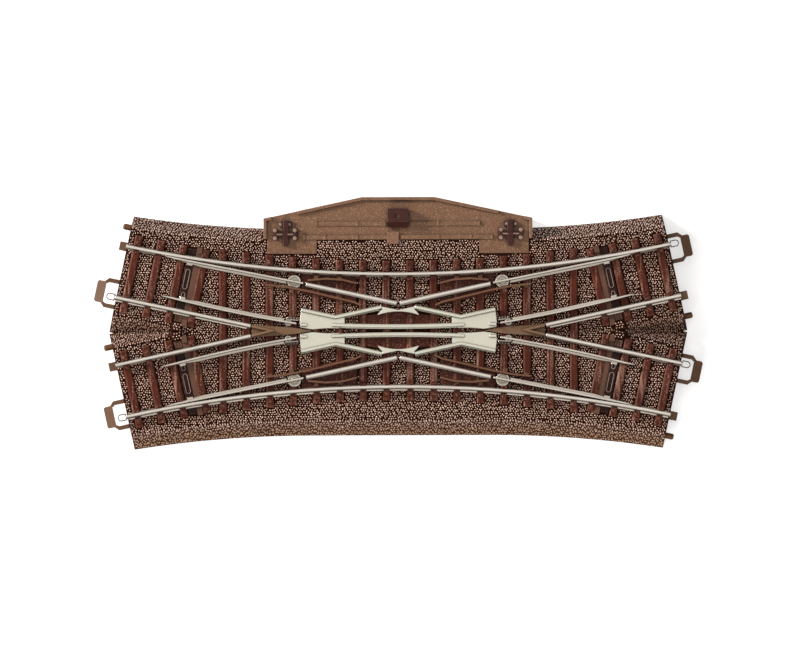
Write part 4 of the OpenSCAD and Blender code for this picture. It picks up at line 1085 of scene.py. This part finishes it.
            column, row = int(x // self.fill_gap), int(y // self.fill_gap)
            near = (spot for side, step in around for spot in cells.get((column + side, row + step), ()))
            if all((x - a) ** 2 + (y - b) ** 2 > room[index] for a, b in near):
                cells.setdefault((column, row), []).append((x, y))
                chosen.append(index)
        heights = level[chosen] * self.plan.bed_height
        return np.column_stack([tries[chosen], heights]), leans[chosen]

    def hoods(self) -> None:
        """Build the roof over the free end of each throw bar channel."""
        maker = Maker()
        top, floor, roof_low, cut = self.hood_top, self.hood_floor, self.tunnel_top, self.hood_cut
        lip, mouth, back, end = self.hood_ends
        left, right = self.tunnel_sides
        arch = chamfered(*self.hood_sides, floor, top, cut, cut)
        tunnel = (arch[0], (left, floor), (left, roof_low), (right, roof_low), (right, floor), *arch[1:])
        roof = chamfered(*self.roof_sides, roof_low, top, cut, self.roof_drop)
        runs = ((arch, ((back, 0.0), (end, self.hood_drop))), (tunnel, ((mouth, 0.0), (back, 0.0))),
                (roof, ((lip, 0.0), (mouth, 0.0))))
        for quadrant in QUADRANTS:
            for section, ends in runs:
                rings = [[(along, across, up - drop * (up > self.plan.bed_height)) for along, up in section]
                         for across, drop in ends]
                maker.loft(rings, self.plan.lane(quadrant))
        self.finishes.put(maker.piece("bar_hoods", "roadbed", "ballast"), "bed")

    def build(self) -> None:
        """Build the hoods, and the stones in zones."""
        rng = np.random.default_rng(self.seed)
        self.hoods()
        groups = [self.deck_spots(rng), self.slope_spots(rng), self.hood_spots()]
        groups.append(self.fill_spots(np.vstack([group[0] for group in groups]), rng))
        places = np.vstack([group[0] for group in groups])
        normals = np.vstack([group[1] for group in groups])
        for quadrant, (side_x, side_y) in QUADRANTS.items():
            for part, near in (("inner", True), ("outer", False)):
                mask = (places[:, 0] * side_x >= 0) & (places[:, 1] * side_y >= 0)
                mask &= (np.abs(places[:, 0]) < self.zone_split) == near
                self.stones(f"ballast_stones_{quadrant}_{part}", places[mask], normals[mask], rng)

    def stones(self, name: str, places: np.ndarray, normals: np.ndarray, rng: np.random.Generator) -> None:
        """Make one zone of stones, each a low dome on an uneven outline, with the shares that set their
        painted highlights and shade.

        Args:
            name: Name of the piece.
            places: Foot of each stone.
            normals: Surface normal at each stone.
            rng: Source of the shapes.
        """
        count, sides = len(places), self.sides
        helper = np.where(np.abs(normals[:, 2:3]) > self.level_normal, (1.0, 0.0, 0.0), (0.0, 0.0, 1.0))
        first = np.cross(normals, helper)
        first /= np.linalg.norm(first, axis=1, keepdims=True)
        second = np.cross(normals, first)
        turn = rng.uniform(0, 2 * math.pi, (count, 1)) + np.arange(sides) * 2 * math.pi / sides
        turn += rng.uniform(-self.stone_turn, self.stone_turn, (count, sides))
        long = rng.uniform(*self.stone_lengths, (count, 1))
        reach = self.stone_radius * rng.uniform(*self.stone_corners, (count, sides))
        reach = reach * rng.uniform(*self.stone_sizes, (count, 1))
        across, along = np.cos(turn) * reach * long, np.sin(turn) * reach / long
        axis = rng.uniform(0, math.pi, (count, 1))
        flat_u = across * np.cos(axis) - along * np.sin(axis)
        flat_v = across * np.sin(axis) + along * np.cos(axis)
        flat_v = flat_v * np.where(normals[:, 2:3] < self.level_normal, self.slope_stretch, 1.0)
        height = self.stone_height * rng.uniform(*self.stone_heights, (count, 1))
        lean = rng.uniform(-self.stone_shift, self.stone_shift, (count, 2))
        points = np.zeros((count, 3 * sides + 1, 3))
        for level, (size, rise) in enumerate(self.stone_rings):
            u = flat_u * size + lean[:, :1] * rise
            v = flat_v * size + lean[:, 1:] * rise
            ring = places[:, None] + first[:, None] * u[..., None] + second[:, None] * v[..., None]
            points[:, level * sides:(level + 1) * sides] = ring + (normals * height * rise)[:, None]
        points[:, -1] = places + normals * height + first * lean[:, :1] + second * lean[:, 1:]
        points[..., 2] = np.maximum(points[..., 2], self.lowest)
        faces: list[tuple[int, ...]] = [tuple(reversed(range(sides)))]
        for index in range(sides):
            after = (index + 1) % sides
            for low in (0, sides):
                faces.append((low + index, low + after, low + sides + after, low + sides + index))
            faces.append((2 * sides + index, 2 * sides + after, 3 * sides))
        maker = Maker()
        maker.points = [tuple(point) for point in points.reshape(-1, 3)]
        step = 3 * sides + 1
        maker.faces = [tuple(start + index for index in face)
                       for start in range(0, count * step, step) for face in faces]
        stones = maker.piece(name, "roadbed", "ballast", smooth=True, mend=False)
        # Share from stone foot to top: painted shade at the foot, painted highlight on the top.
        rise = np.concatenate([np.repeat(self.ring_light_share, sides), (1.0,)])
        # Valley stones get deeper painted shade.
        valley = self.arm_depth(places) < 0
        # Front shoulder only: painted fill light, lighter and flatter than the back.
        front_fill_tint = np.clip((self.shoulder_run - self.edge_depth(places)) / self.front_fill_run, 0.0, 1.0) * ~valley
        front_fill_tint *= places[:, 1] < 0
        low = np.where(valley, self.valley_light_share[0], self.front_fill_gap_light * front_fill_tint)
        high = np.where(valley, self.valley_light_share[1], 1.0)
        values = (low[:, None] + (high - low)[:, None] * rise).ravel()
        for label, shares in (("rise", values), ("front_fill_tint", np.repeat(front_fill_tint, step))):
            stones.data.attributes.new(label, "FLOAT", "POINT").data.foreach_set("value", shares)
        self.finishes.put(stones, "stone")


@dataclass
class SleeperSet(Assembly):
    """Sleepers with broken edges, and the chairs that hold the rails down on them."""

    plan: TrackPlan
    finishes: Finishes
    chamfer: float = 0.42
    chamfer_drop: float = 0.3
    chair_width: float = 2.0
    chair_cut: float = 0.18
    bolt_radius: float = 0.42
    bolt_sides: int = 6
    bolt_offset: float = 2.05
    bolt_profile: Outline = ((1.0, 0.2), (1.0, 1.0), (0.72, 1.14))
    end_rise: float = 0.01
    clip_station: float = 80.0
    clip_half: float = 35.0
    chair_outline: Outline = (
        (1.24, 0.0), (3.0, 0.0), (3.0, 0.3), (2.55, 0.62), (1.7, 0.95), (0.98, 0.95), (0.86, 0.75),
        (0.86, 0.46), (1.24, 0.46))
    clip_outline: Outline = (
        (0.82, 0.0), (1.9, 0.0), (1.9, 0.25), (1.35, 0.72), (0.62, 0.72), (0.5, 0.6), (0.5, 0.46),
        (0.82, 0.46))

    def beam(self, maker: Maker, place: Matrix, half: float) -> None:
        """Add one sleeper along the place's Y axis.

        Args:
            maker: The piece that it belongs to.
            place: Where its middle is.
            half: Half of its length.
        """
        wide, low, cut = self.plan.sleeper_width / 2, self.plan.bed_height, self.chamfer
        edge = self.plan.seat_height - self.chamfer_drop
        full = chamfered(-wide, wide, low, self.plan.seat_height, cut, self.chamfer_drop)
        last = chamfered(-wide, wide, low, edge + self.end_rise, cut, self.end_rise)
        maker.loft([[(x, y, z) for x, z in outline] for y, outline in (
            (half, last), (half - cut, full), (-half + cut, full), (-half, last))], place)

    def chair(self, maker: Maker, place: Matrix, outline: Sequence[Span], bolt: bool) -> None:
        """Add one chair whose lip grips the rail foot.

        Args:
            maker: The piece that it belongs to.
            place: Rail middle on the sleeper top, X along the rail and Y away from it.
            outline: Distance from the rail and height of the section.
            bolt: Whether a bolt head stands on it.
        """
        wide, cut = self.chair_width / 2, self.chair_cut
        maker.loft([[(x, y, max(0.0, z - shrink)) for y, z in outline] for x, shrink in (
            (-wide, cut), (-wide + cut, 0.0), (wide - cut, 0.0), (wide, cut))], place)
        if bolt:
            maker.turned([(self.bolt_radius * size, z) for size, z in self.bolt_profile], self.bolt_sides,
                         place @ Matrix.Translation((0, self.bolt_offset, 0)))

    def fasten(self, chairs: Maker, clips: Maker, seat: Matrix, clipped: bool) -> None:
        """Add a chair, and the clip on the other side of the rail where there is one.

        Args:
            chairs: The piece with the chairs.
            clips: The piece with the clips.
            seat: Rail middle on the sleeper top, X along the rail and Y away from the track's middle.
            clipped: Whether there is a clip.
        """
        self.chair(chairs, seat, self.chair_outline, True)
        if clipped:
            self.chair(clips, seat @ Matrix.Diagonal((1, -1, 1, 1)), self.clip_outline, False)

    def build(self) -> None:
        """Build the sleepers, the chairs and the clips."""
        plan = self.plan
        beams, chairs, clips = Maker(), Maker(), Maker()
        for quadrant in QUADRANTS:
            lane = plan.lane(quadrant)
            for station in plan.sleeper_stations:
                self.beam(beams, lane @ Matrix.Translation((station, 0, 0)), plan.sleeper_half)
                bent = (plan.half_length - station) ** 2 / (2 * plan.slip_radius)
                for offset, side in ((plan.rail_offset + bent, 1), (-plan.rail_offset, -1)):
                    seat = lane @ Matrix.Translation((station, offset, plan.seat_height))
                    self.fasten(chairs, clips, seat @ Matrix.Diagonal((1, side, 1, 1)),
                                station > self.clip_station)
        for x, half in plan.timbers():
            self.beam(beams, Matrix.Translation((x, 0, 0)), half)
            tilt = math.asin(x / (plan.slip_radius - plan.rail_offset))
            for side in (1, -1):
                seat = Matrix.Diagonal((1, side, 1, 1)) @ Matrix.Translation(
                    (x, plan.stock_y(abs(x)), plan.seat_height)) @ Matrix.Rotation(tilt, 4, "Z")
                self.fasten(chairs, clips, seat, abs(x) < self.clip_half)
        sleepers = beams.piece("sleeper_beams", "roadbed", "sleeper")
        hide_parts("sleepers")
        self.finishes.put(sleepers, "sleeper")
        for maker, name in ((chairs, "rail_chairs"), (clips, "rail_clips")):
            self.finishes.put(maker.piece(name, "roadbed", "sleeper"), "chair")


@dataclass
class RailWork(Assembly):
    """Rails, blades and their heels."""

    WORN = {
        "rail": ("stock_rail", "inner_rail"), "closure": ("closure_rail",), "spring": ("joiner_springs",),
        "blade": ("outer_blade", "inner_blade", "heel_rivets"), "washer": ("heel_washers",),
    }
    plan: TrackPlan
    finishes: Finishes
    clip_length: float = 3.8
    clip_gap: float = 0.6
    clip_shift: float = 1.4
    clip_section: Outline = ((0.0, 0.0), (1.15, 0.0), (1.15, 0.3), (0.42, 0.42), (0.36, 1.5), (0.06, 1.5))
    tooth_count: int = 4
    tooth_gap: float = 0.18
    tooth_section: Outline = ((0.4, 0.35), (1.3, 0.28), (1.3, 0.46), (0.4, 0.8))
    turn_step: float = 0.4
    flange_section: Outline = ((0.7, 0.0), (1.2, 0.0), (1.2, 0.2), (1.12, 0.27), (0.7, 0.34))
    flange_run: Span = (49.4, 93.9)
    flange_turn: float = 12.05
    inner_section: Outline = ((-0.5, 0.0), (-0.9, 0.0), (-0.9, 0.2), (-0.82, 0.27), (-0.5, 0.36))
    inner_turns: Outline = ((-12.05, -10.75), (-4.2, 4.2), (10.75, 12.05))
    inner_run: Span = (81.0, 93.9)

    def heel_clip(self, maker: Maker, place: Matrix) -> None:
        """Add the toothed plate that locks an inner heel.

        Args:
            maker: The piece that it belongs to.
            place: Mirroring of the quadrant.
        """
        plan, (x, y) = self.plan, self.plan.inner_heel
        tilt = Matrix.Rotation(math.asin(x / (plan.slip_radius + plan.rail_offset)), 4, "Z")
        seat = place @ Matrix.Translation((x - self.clip_shift, y + self.clip_gap, plan.seat_height)) @ tilt
        half = self.clip_length / 2
        maker.bar(self.clip_section, (-half, half), seat)
        pitch = self.clip_length / self.tooth_count
        for index in range(self.tooth_count):
            low = -half + index * pitch + self.tooth_gap
            maker.bar(self.tooth_section, (low, low + pitch - 2 * self.tooth_gap), seat)

    def flanges(self) -> None:
        """Build the foot flanges that the chairs of the stock rails and of the inner rails leave bare."""
        plan = self.plan
        maker = Maker()
        radius, seat = plan.slip_radius - plan.rail_offset, plan.seat_height
        bends = [(self.flange_section, -self.flange_turn, self.flange_turn, (-1,))]
        bends += [(self.inner_section, *ends, (1, -1)) for ends in self.inner_turns]
        for section, start, stop, sides in bends:
            turns = np.radians(np.linspace(start, stop, 1 + round((stop - start) / self.turn_step)))
            rings = [[((radius - off) * math.sin(turn), plan.arc_centre - (radius - off) * math.cos(turn),
                       seat + up) for off, up in section] for turn in turns]
            for side in sides:
                maker.loft(rings, Matrix.Diagonal((1, side, 1, 1)))
        for quadrant, (_, side) in QUADRANTS.items():
            runs = [(self.inner_section, self.inner_run)]
            if side > 0:
                runs.append((self.flange_section, self.flange_run))
            for section, run in runs:
                maker.bar([(-plan.rail_offset - off, seat + up) for off, up in section], run,
                          plan.lane(quadrant))
        self.finishes.put(maker.piece("rail_flanges", "roadbed", "rail"), "flange")

    def build(self) -> None:
        """Build the heel plates and the foot flanges."""
        maker = Maker()
        for quadrant in QUADRANTS:
            self.heel_clip(maker, self.plan.mirror(quadrant))
        self.finishes.put(maker.piece("heel_clips", "roadbed", "rail"), "rail")
        self.flanges()


@dataclass
class CrossingWork(Assembly):
    """Castings, frogs, check rails and the plates beside the check rails."""

    WORN = {"cast": ("crossing_",), "frog": ("frog_",), "check": ("check_rails",)}
    plan: TrackPlan
    finishes: Finishes
    plate_top: float = 7.45
    plate_sink: float = 0.2
    plate_cut: float = 0.15
    plate_ends: Span = (14.0, 32.0)
    plate_steps: int = 7
    plate_offset: float = 5.5
    plate_over: float = 0.4
    middle_half: float = 11.4
    middle_sides: Span = (1.6, 6.6)
    middle_lean: float = 1.6

    def build(self) -> None:
        """Build the plates between stock rails and long check rails, and those inside the castings."""
        maker = Maker()
        low, high, cut = self.plan.bed_height - self.plate_sink, self.plate_top, self.plate_cut
        cos, sin = math.cos(self.plan.angle), math.sin(self.plan.angle)
        sides = [(x, (self.plate_offset + x * sin) / cos, self.plan.stock_y(x) + self.plate_over)
                 for x in np.linspace(*self.plate_ends, self.plate_steps)]
        near, far = self.middle_sides
        middle = [(x, near, far - lean) for x, lean in (
            (-self.middle_half, self.middle_lean), (0.0, 0.0), (self.middle_half, self.middle_lean))]
        plates = [(sides, self.plan.mirror(quadrant)) for quadrant in QUADRANTS]
        plates += [(middle, Matrix.Diagonal((1, side, 1, 1))) for side in (1, -1)]
        for spots, place in plates:
            maker.loft([[(x, *corner) for corner in chamfered(inner, outer, low, high, cut, cut)]
                        for x, inner, outer in spots], place)
        self.finishes.put(maker.piece("check_plates", "roadbed", "sleeper"), "chair")


@dataclass
class PointDrive(Assembly):
    """Throw bars with their moulded eyelets, and the guides beside them.

    A ring is given by its middle across the track, half of its straight length and its outer radius.
    """

    WORN = {"bar": ("throw_bar",), "guide": ("bar_guides",)}
    plan: TrackPlan
    finishes: Finishes
    bar_top: float = 7.7
    rings: tuple[Point, ...] = ((2.2, 2.6, 0.85), (-3.4, 0.5, 0.7))
    ring_steps: int = 10
    ring_sink: float = 0.05
    ring_width: float = 0.26
    ring_height: float = 0.24
    pad_ends: Span = (-12.2, -9.9)
    pad_height: float = 0.08
    pad_drop: float = 0.03
    pad_sink: float = 0.02
    pad_ribs: Outline = ((-1.25, -0.5), (-0.35, 0.35), (0.5, 1.25))

    def eyelet(self, maker: Maker, place: Matrix, middle: float, half: float, radius: float) -> None:
        """Add a raised oval rim on a throw bar.

        Args:
            maker: The piece that it belongs to.
            place: The lane of the quadrant.
            middle: Middle of the oval across the track.
            half: Half of the straight length.
            radius: Outer radius of its ends.
        """
        path: list[Point] = []
        for end, start in ((half, 0.0), (-half, math.pi)):
            for index in range(self.ring_steps + 1):
                turn = start + math.pi * index / self.ring_steps
                path.append((math.cos(turn), math.sin(turn), end))
        wide, tall = self.ring_width, self.ring_height
        section = ((radius, -self.ring_sink), (radius, tall * 0.7), (radius - wide * 0.3, tall),
                   (radius - wide, tall * 0.8), (radius - wide, -self.ring_sink))
        points = [(self.plan.bar_station + cos * size, middle + end + sin * size, self.bar_top + up)
                  for cos, sin, end in path for size, up in section]
        count, ring = len(path), len(section)
        faces = []
        for index in range(count):
            here, after = index * ring, (index + 1) % count * ring
            for corner in range(ring):
                other = (corner + 1) % ring
                faces.append((here + corner, after + corner, after + other, here + other))
        maker.add(points, faces, place)

    def build(self) -> None:
        """Build the eyelet rims and the end pads of each throw bar."""
        for quadrant in QUADRANTS:
            maker = Maker()
            lane = self.plan.lane(quadrant)
            for middle, half, radius in self.rings:
                self.eyelet(maker, lane, middle, half, radius)
            trim = maker.piece(f"throw_bar_trim_{quadrant}", f"throw_bar_{quadrant}", "dark")
            # Paler rim: painted highlight on the raised eyelet.
            self.finishes.put(trim, "eyelet")
            ribs = Maker()
            for low, high in self.pad_ribs:
                section = chamfered(low, high, 0.0, self.pad_height, self.pad_height, self.pad_drop)
                ribs.loft([[(self.plan.bar_station + along, across, self.bar_top + up - self.pad_sink)
                            for along, up in section] for across in reversed(self.pad_ends)], lane)
            pads = ribs.piece(f"throw_bar_pads_{quadrant}", f"throw_bar_{quadrant}", "dark")
            self.finishes.put(pads, "guide")


@dataclass
class MechanismCover(Assembly):
    """The cover with knob and lantern feet, and the linkage below it."""

    WORN = {
        "tan": ("cover",), "knob": ("hand_knob", "lantern_foot"),
        "link": ("knob_carriage", "bell_crank", "drive_slide", "keeper_center", "keeper_left",
                 "keeper_right"),
    }
    finishes: Finishes
    foot_spots: Outline = ((-37.5, 31.8), (37.5, 31.8))
    boss_spots: Outline = ((-3.3, -1.0), (3.3, -1.0), (-3.3, 1.6), (3.3, 1.6))
    boss_radius: float = 0.66
    boss_level: float = 8.8
    boss_rise: float = 0.16
    head_spots: Outline = ((-1.5, 3.65), (1.5, 3.65))
    head_radius: float = 0.5
    head_level: float = 8.1
    head_rise: float = 0.22
    stud_steps: int = 16
    stud_sink: float = 0.05
    stud_top: float = 0.8
    ridge_level: float = 8.86
    ridge_run: Span = (0.9, 2.7)
    ridge_section: Outline = ((0.04, -0.05), (0.48, -0.05), (0.46, 0.1), (0.32, 0.2), (0.2, 0.2), (0.06, 0.1))
    arm_half: float = 3.95
    arm_sides: Span = (-0.34, 0.86)
    arm_levels: Span = (8.0, 8.9)
    arm_cut: float = 0.18

    def arms(self) -> None:
        """Build the dark arms that lie across the lantern feet."""
        maker = Maker()
        section = chamfered(*self.arm_sides, *self.arm_levels, self.arm_cut, self.arm_cut)
        for x, y in self.foot_spots:
            maker.bar(section, (-self.arm_half, self.arm_half), Matrix.Translation((x, y, 0)))
        self.finishes.put(maker.piece("lantern_arms", "roadbed", "dark"), "knob")

    def build(self) -> None:
        """Build the arms, and the bosses, ridges and head studs of the lantern feet, whose pale finish is a
        painted highlight.
        """
        self.arms()
        maker = Maker()
        for x, y in self.foot_spots:
            studs = [(spot, self.boss_radius, self.boss_level, self.boss_rise) for spot in self.boss_spots]
            studs += [(spot, self.head_radius, self.head_level, self.head_rise) for spot in self.head_spots]
            for (across, along), radius, level, rise in studs:
                profile = ((radius, level - self.stud_sink), (radius, level + rise / 2),
                           (radius * self.stud_top, level + rise))
                maker.turned(profile, self.stud_steps, Matrix.Translation((x + across, y + along, 0)))
            ridge = [(along, self.ridge_level + up) for along, up in self.ridge_section]
            for side in (-1, 1):
                maker.bar(ridge, sorted(side * end for end in self.ridge_run), Matrix.Translation((x, y, 0)))
        # Pale finish: painted highlight on the raised parts.
        self.finishes.put(maker.piece("lantern_bosses", "roadbed", "dark"), "boss")


@dataclass
class TrackEnds(Assembly):
    """Coupling loops and tongues at the four track ends, and the round tips of the locating pegs."""

    WORN = {"loop": ("coupling_loops", "coupling_tongues")}
    finishes: Finishes
    record: dict[str, Any]
    tip_profile: Outline = ((1.0, -0.1), (0.98, 0.12), (0.86, 0.34), (0.6, 0.5), (0.24, 0.57))
    steps: int = 20

    def build(self) -> None:
        """Build a round tip on each peg, at the places that the record gives."""
        maker = Maker()
        for mount in self.record["mounts"]:
            if not mount["name"].startswith("peg_"):
                continue
            axis = Vector(mount["axis"]).normalized()
            end = Vector(mount["pos_m"]) / MM + axis * mount["dims"]["length_mm"] / 2
            place = Matrix.Translation(end) @ axis.to_track_quat("Z", "Y").to_matrix().to_4x4()
            radius = mount["dims"]["r_mm"]
            maker.turned([(radius * size, up) for size, up in self.tip_profile], self.steps, place)
        self.finishes.put(maker.piece("peg_tips", "roadbed", "ballast", smooth=True), "loop")


@dataclass
class ScrewSet(Assembly):
    """Slotted screws of the keeper plates and of the crank, seen from below."""

    finishes: Finishes
    keeper_spots: Outline = ((0, 9), (0, -9), (60, 8), (60, -8), (-60, 8), (-60, -8))
    crank_spot: Span = (-14.0, 38.65)
    keeper_size: tuple[float, ...] = (0.05, 0.55, 1.5, 0.8, 4.6)
    crank_size: tuple[float, ...] = (2.3, 0.8, 2.15, 0.6, 6.1)
    tip: float = 0.3
    slot_share: float = 0.13
    steps: int = 24

    def screw(self, maker: Maker, x: float, y: float, low: float, head: float, radius: float, shank: float,
              top: float) -> None:
        """Add a screw that points up, with a slot in its head.

        Args:
            maker: The piece that it belongs to.
            x: Place along X.
            y: Place along Y.
            low: Level of the underside of the head.
            head: Height of the head.
            radius: Radius of the head.
            shank: Radius of the shank.
            top: Level of the shank's end.
        """
        profile = ((radius * 0.97, low + head * 0.45), (radius, low + head * 0.6), (radius, low + head),
                   (shank, low + head), (shank, top - self.tip), (shank * 0.6, top))
        maker.turned(profile, self.steps, Matrix.Translation((x, y, 0)))
        slot = radius * self.slot_share
        start, count = math.asin(slot / radius), self.steps // 2
        for side in (1, -1):
            half = [start + (math.pi - 2 * start) * step / count for step in range(count + 1)]
            rings = []
            for size, z in ((0.9, low), (0.99, low + head * 0.15), (1.0, low + head * 0.5)):
                reach = radius * size
                ring = [(x + math.cos(turn) * reach, y + side * max(slot, math.sin(turn) * reach), z)
                        for turn in half]
                rings.append(ring if side > 0 else list(reversed(ring)))
            maker.loft(rings)

    def build(self) -> None:
        """Build both kinds of screw in place of the plain ones."""
        maker = Maker()
        for x, y in self.keeper_spots:
            self.screw(maker, x, y, *self.keeper_size)
        keepers = maker.piece("slotted_keeper_screws", "roadbed", "screw")
        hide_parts("keeper_screws")
        self.finishes.put(keepers, "screw")
        maker = Maker()
        self.screw(maker, *self.crank_spot, *self.crank_size)
        crank = maker.piece("slotted_crank_screw", "roadbed", "screw")
        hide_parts("crank_screw")
        self.finishes.put(crank, "screw")


@dataclass
class Studio:
    """White floor, soft light and the camera above the turnout."""

    aim: Point = (0.55, -0.92, 10.3)
    elevation: float = 86.6
    roll: float = -0.21
    distance: float = 8000.0
    frame_width: float = 265.25
    sensor: float = 36.0
    view_end: float = 20.0
    key_from: Span = (-0.92, 0.39)
    key_elevation: float = 20.0
    key_power: float = 31.0
    key_size: float = 0.35
    fill_from: Span = (-0.25, -0.97)
    fill_elevation: float = 22.0
    fill_power: float = 14.0
    fill_size: float = 0.7
    lamp_far: float = 1.6
    lamp_colour: Point = (1.0, 0.975, 0.94)
    floor_half: float = 4.0
    floor_grey: float = 0.86
    floor_glow: float = 0.55
    dome_colour: Point = (1.0, 0.985, 0.97)
    dome: Span = (0.05, 1.2)
    dome_focus: float = 4.0
    mirrored: Span = (0.34, 1.12)
    mirrored_focus: float = 2.4
    mirrored_lean: Point = (-0.12, 0.24, 0.96)

    def floor(self) -> None:
        """Lay a white floor that keeps the shadow."""
        mesh = bpy.data.meshes.new("floor")
        half = self.floor_half
        corners = [(-half, -half, 0), (half, -half, 0), (half, half, 0), (-half, half, 0)]
        mesh.from_pydata(corners, [], [(0, 1, 2, 3)])
        floor = bpy.data.objects.new("floor", mesh)
        bpy.context.scene.collection.objects.link(floor)
        material, pen = open_material("floor_white")
        matte = pen.feed(pen.node("ShaderNodeBsdfDiffuse"), Color=(*[self.floor_grey] * 3, 1.0))
        path = pen.node("ShaderNodeLightPath")
        seen = pen.math("MAXIMUM", path.outputs["Is Camera Ray"], path.outputs["Is Glossy Ray"])
        seen = pen.math("MAXIMUM", seen, path.outputs["Is Transmission Ray"])
        glow = pen.feed(pen.node("ShaderNodeEmission"), Strength=pen.math("MULTIPLY", seen, self.floor_glow))
        both = pen.node("ShaderNodeAddShader")
        pen.join(both.inputs[0], matte.outputs[0])
        pen.join(both.inputs[1], glow.outputs[0])
        pen.join(pen.node("ShaderNodeOutputMaterial").inputs[0], both.outputs[0])
        mesh.materials.append(material)

    def world(self) -> None:
        """Set a soft dome that is brightest overhead."""
        world = bpy.data.worlds.new("studio_dome")
        bpy.context.scene.world = world
        world.use_nodes = True
        world.node_tree.nodes.clear()
        pen = NodePen(world.node_tree)
        sky = pen.node("ShaderNodeTexCoord").outputs["Generated"]
        height = pen.math("MAXIMUM", pen.upward(sky), 0.0)
        lit = pen.spread(pen.math("POWER", height, self.dome_focus), *self.dome)
        lean = pen.vectors("DOT_PRODUCT", sky, Vector(self.mirrored_lean).normalized())
        bright = pen.math("MAXIMUM", lean.outputs["Value"], 0.0)
        shown = pen.spread(pen.math("POWER", bright, self.mirrored_focus), *self.mirrored)
        path = pen.node("ShaderNodeLightPath")
        mirror = pen.math("MAXIMUM", path.outputs["Is Glossy Ray"], path.outputs["Is Transmission Ray"])
        level = pen.math("ADD", pen.math("MULTIPLY", shown, mirror),
                         pen.math("MULTIPLY", lit, pen.math("SUBTRACT", 1.0, mirror)))
        level = pen.math("MAXIMUM", level, path.outputs["Is Camera Ray"])
        dome = pen.feed(pen.node("ShaderNodeBackground"), Color=(*self.dome_colour, 1.0), Strength=level)
        pen.join(pen.node("ShaderNodeOutputWorld").inputs[0], dome.outputs[0])

    def lamp(self, name: str, towards: Vector, size: float, power: float, mirrored: bool) -> None:
        """Hang a soft lamp that looks at the turnout.

        Args:
            name: Name of the lamp.
            towards: Direction from the turnout to the lamp.
            size: Edge length in metres.
            power: Power in watts.
            mirrored: Whether metal shows the lamp.
        """
        data = bpy.data.lights.new(name, "AREA")
        data.shape = "SQUARE"
        data.size = size
        data.energy = power
        data.color = self.lamp_colour
        lamp = bpy.data.objects.new(name, data)
        lamp.location = towards.normalized() * self.lamp_far
        lamp.rotation_euler = towards.to_track_quat("Z", "Y").to_euler()
        lamp.visible_glossy = mirrored
        bpy.context.scene.collection.objects.link(lamp)

    def camera(self) -> None:
        """Set the long lens at the angle of the photograph."""
        data = bpy.data.cameras.new("camera")
        data.lens = self.sensor * self.distance / self.frame_width
        data.sensor_width = self.sensor
        data.clip_end = self.view_end
        camera = bpy.data.objects.new("camera", data)
        lift = math.radians(self.elevation)
        towards = Vector((0, -math.cos(lift), math.sin(lift)))
        camera.location = (Vector(self.aim) + towards * self.distance) * MM
        turn = towards.to_track_quat("Z", "Y").to_matrix().to_4x4()
        camera.rotation_euler = (turn @ Matrix.Rotation(math.radians(self.roll), 4, "Z")).to_euler()
        bpy.context.scene.collection.objects.link(camera)
        bpy.context.scene.camera = camera

    def build(self) -> None:
        """Set up everything around the turnout."""
        self.floor()
        self.world()
        for name, plan, elevation, size, power in (
                ("key_light", self.key_from, self.key_elevation, self.key_size, self.key_power),
                ("fill_light", self.fill_from, self.fill_elevation, self.fill_size, self.fill_power)):
            lift = math.radians(elevation)
            side = Vector((*plan, 0)).normalized() * math.cos(lift)
            self.lamp(name, Vector((side.x, side.y, math.sin(lift))), size, power, name == "key_light")
        self.camera()
        bpy.context.scene.view_settings.view_transform = "Standard"


def main() -> None:
    """Build and dress every sub-assembly in order."""
    logging.basicConfig(level=logging.INFO, format="%(name)s: %(message)s")
    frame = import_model()
    nodes: dict[str, bpy.types.Object] = frame["nodes"]
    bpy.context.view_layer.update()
    finishes = Finishes()
    plan = TrackPlan()
    assemblies: list[Assembly] = [
        kind(plan, finishes) for kind in (BallastBed, SleeperSet, RailWork, CrossingWork, PointDrive)]
    assemblies += [MechanismCover(finishes), TrackEnds(finishes, frame["record"]), ScrewSet(finishes)]
    for assembly in assemblies:
        assembly.build()
        assembly.dress(nodes)
    Studio().build()


if __name__ == "__main__":
    main()
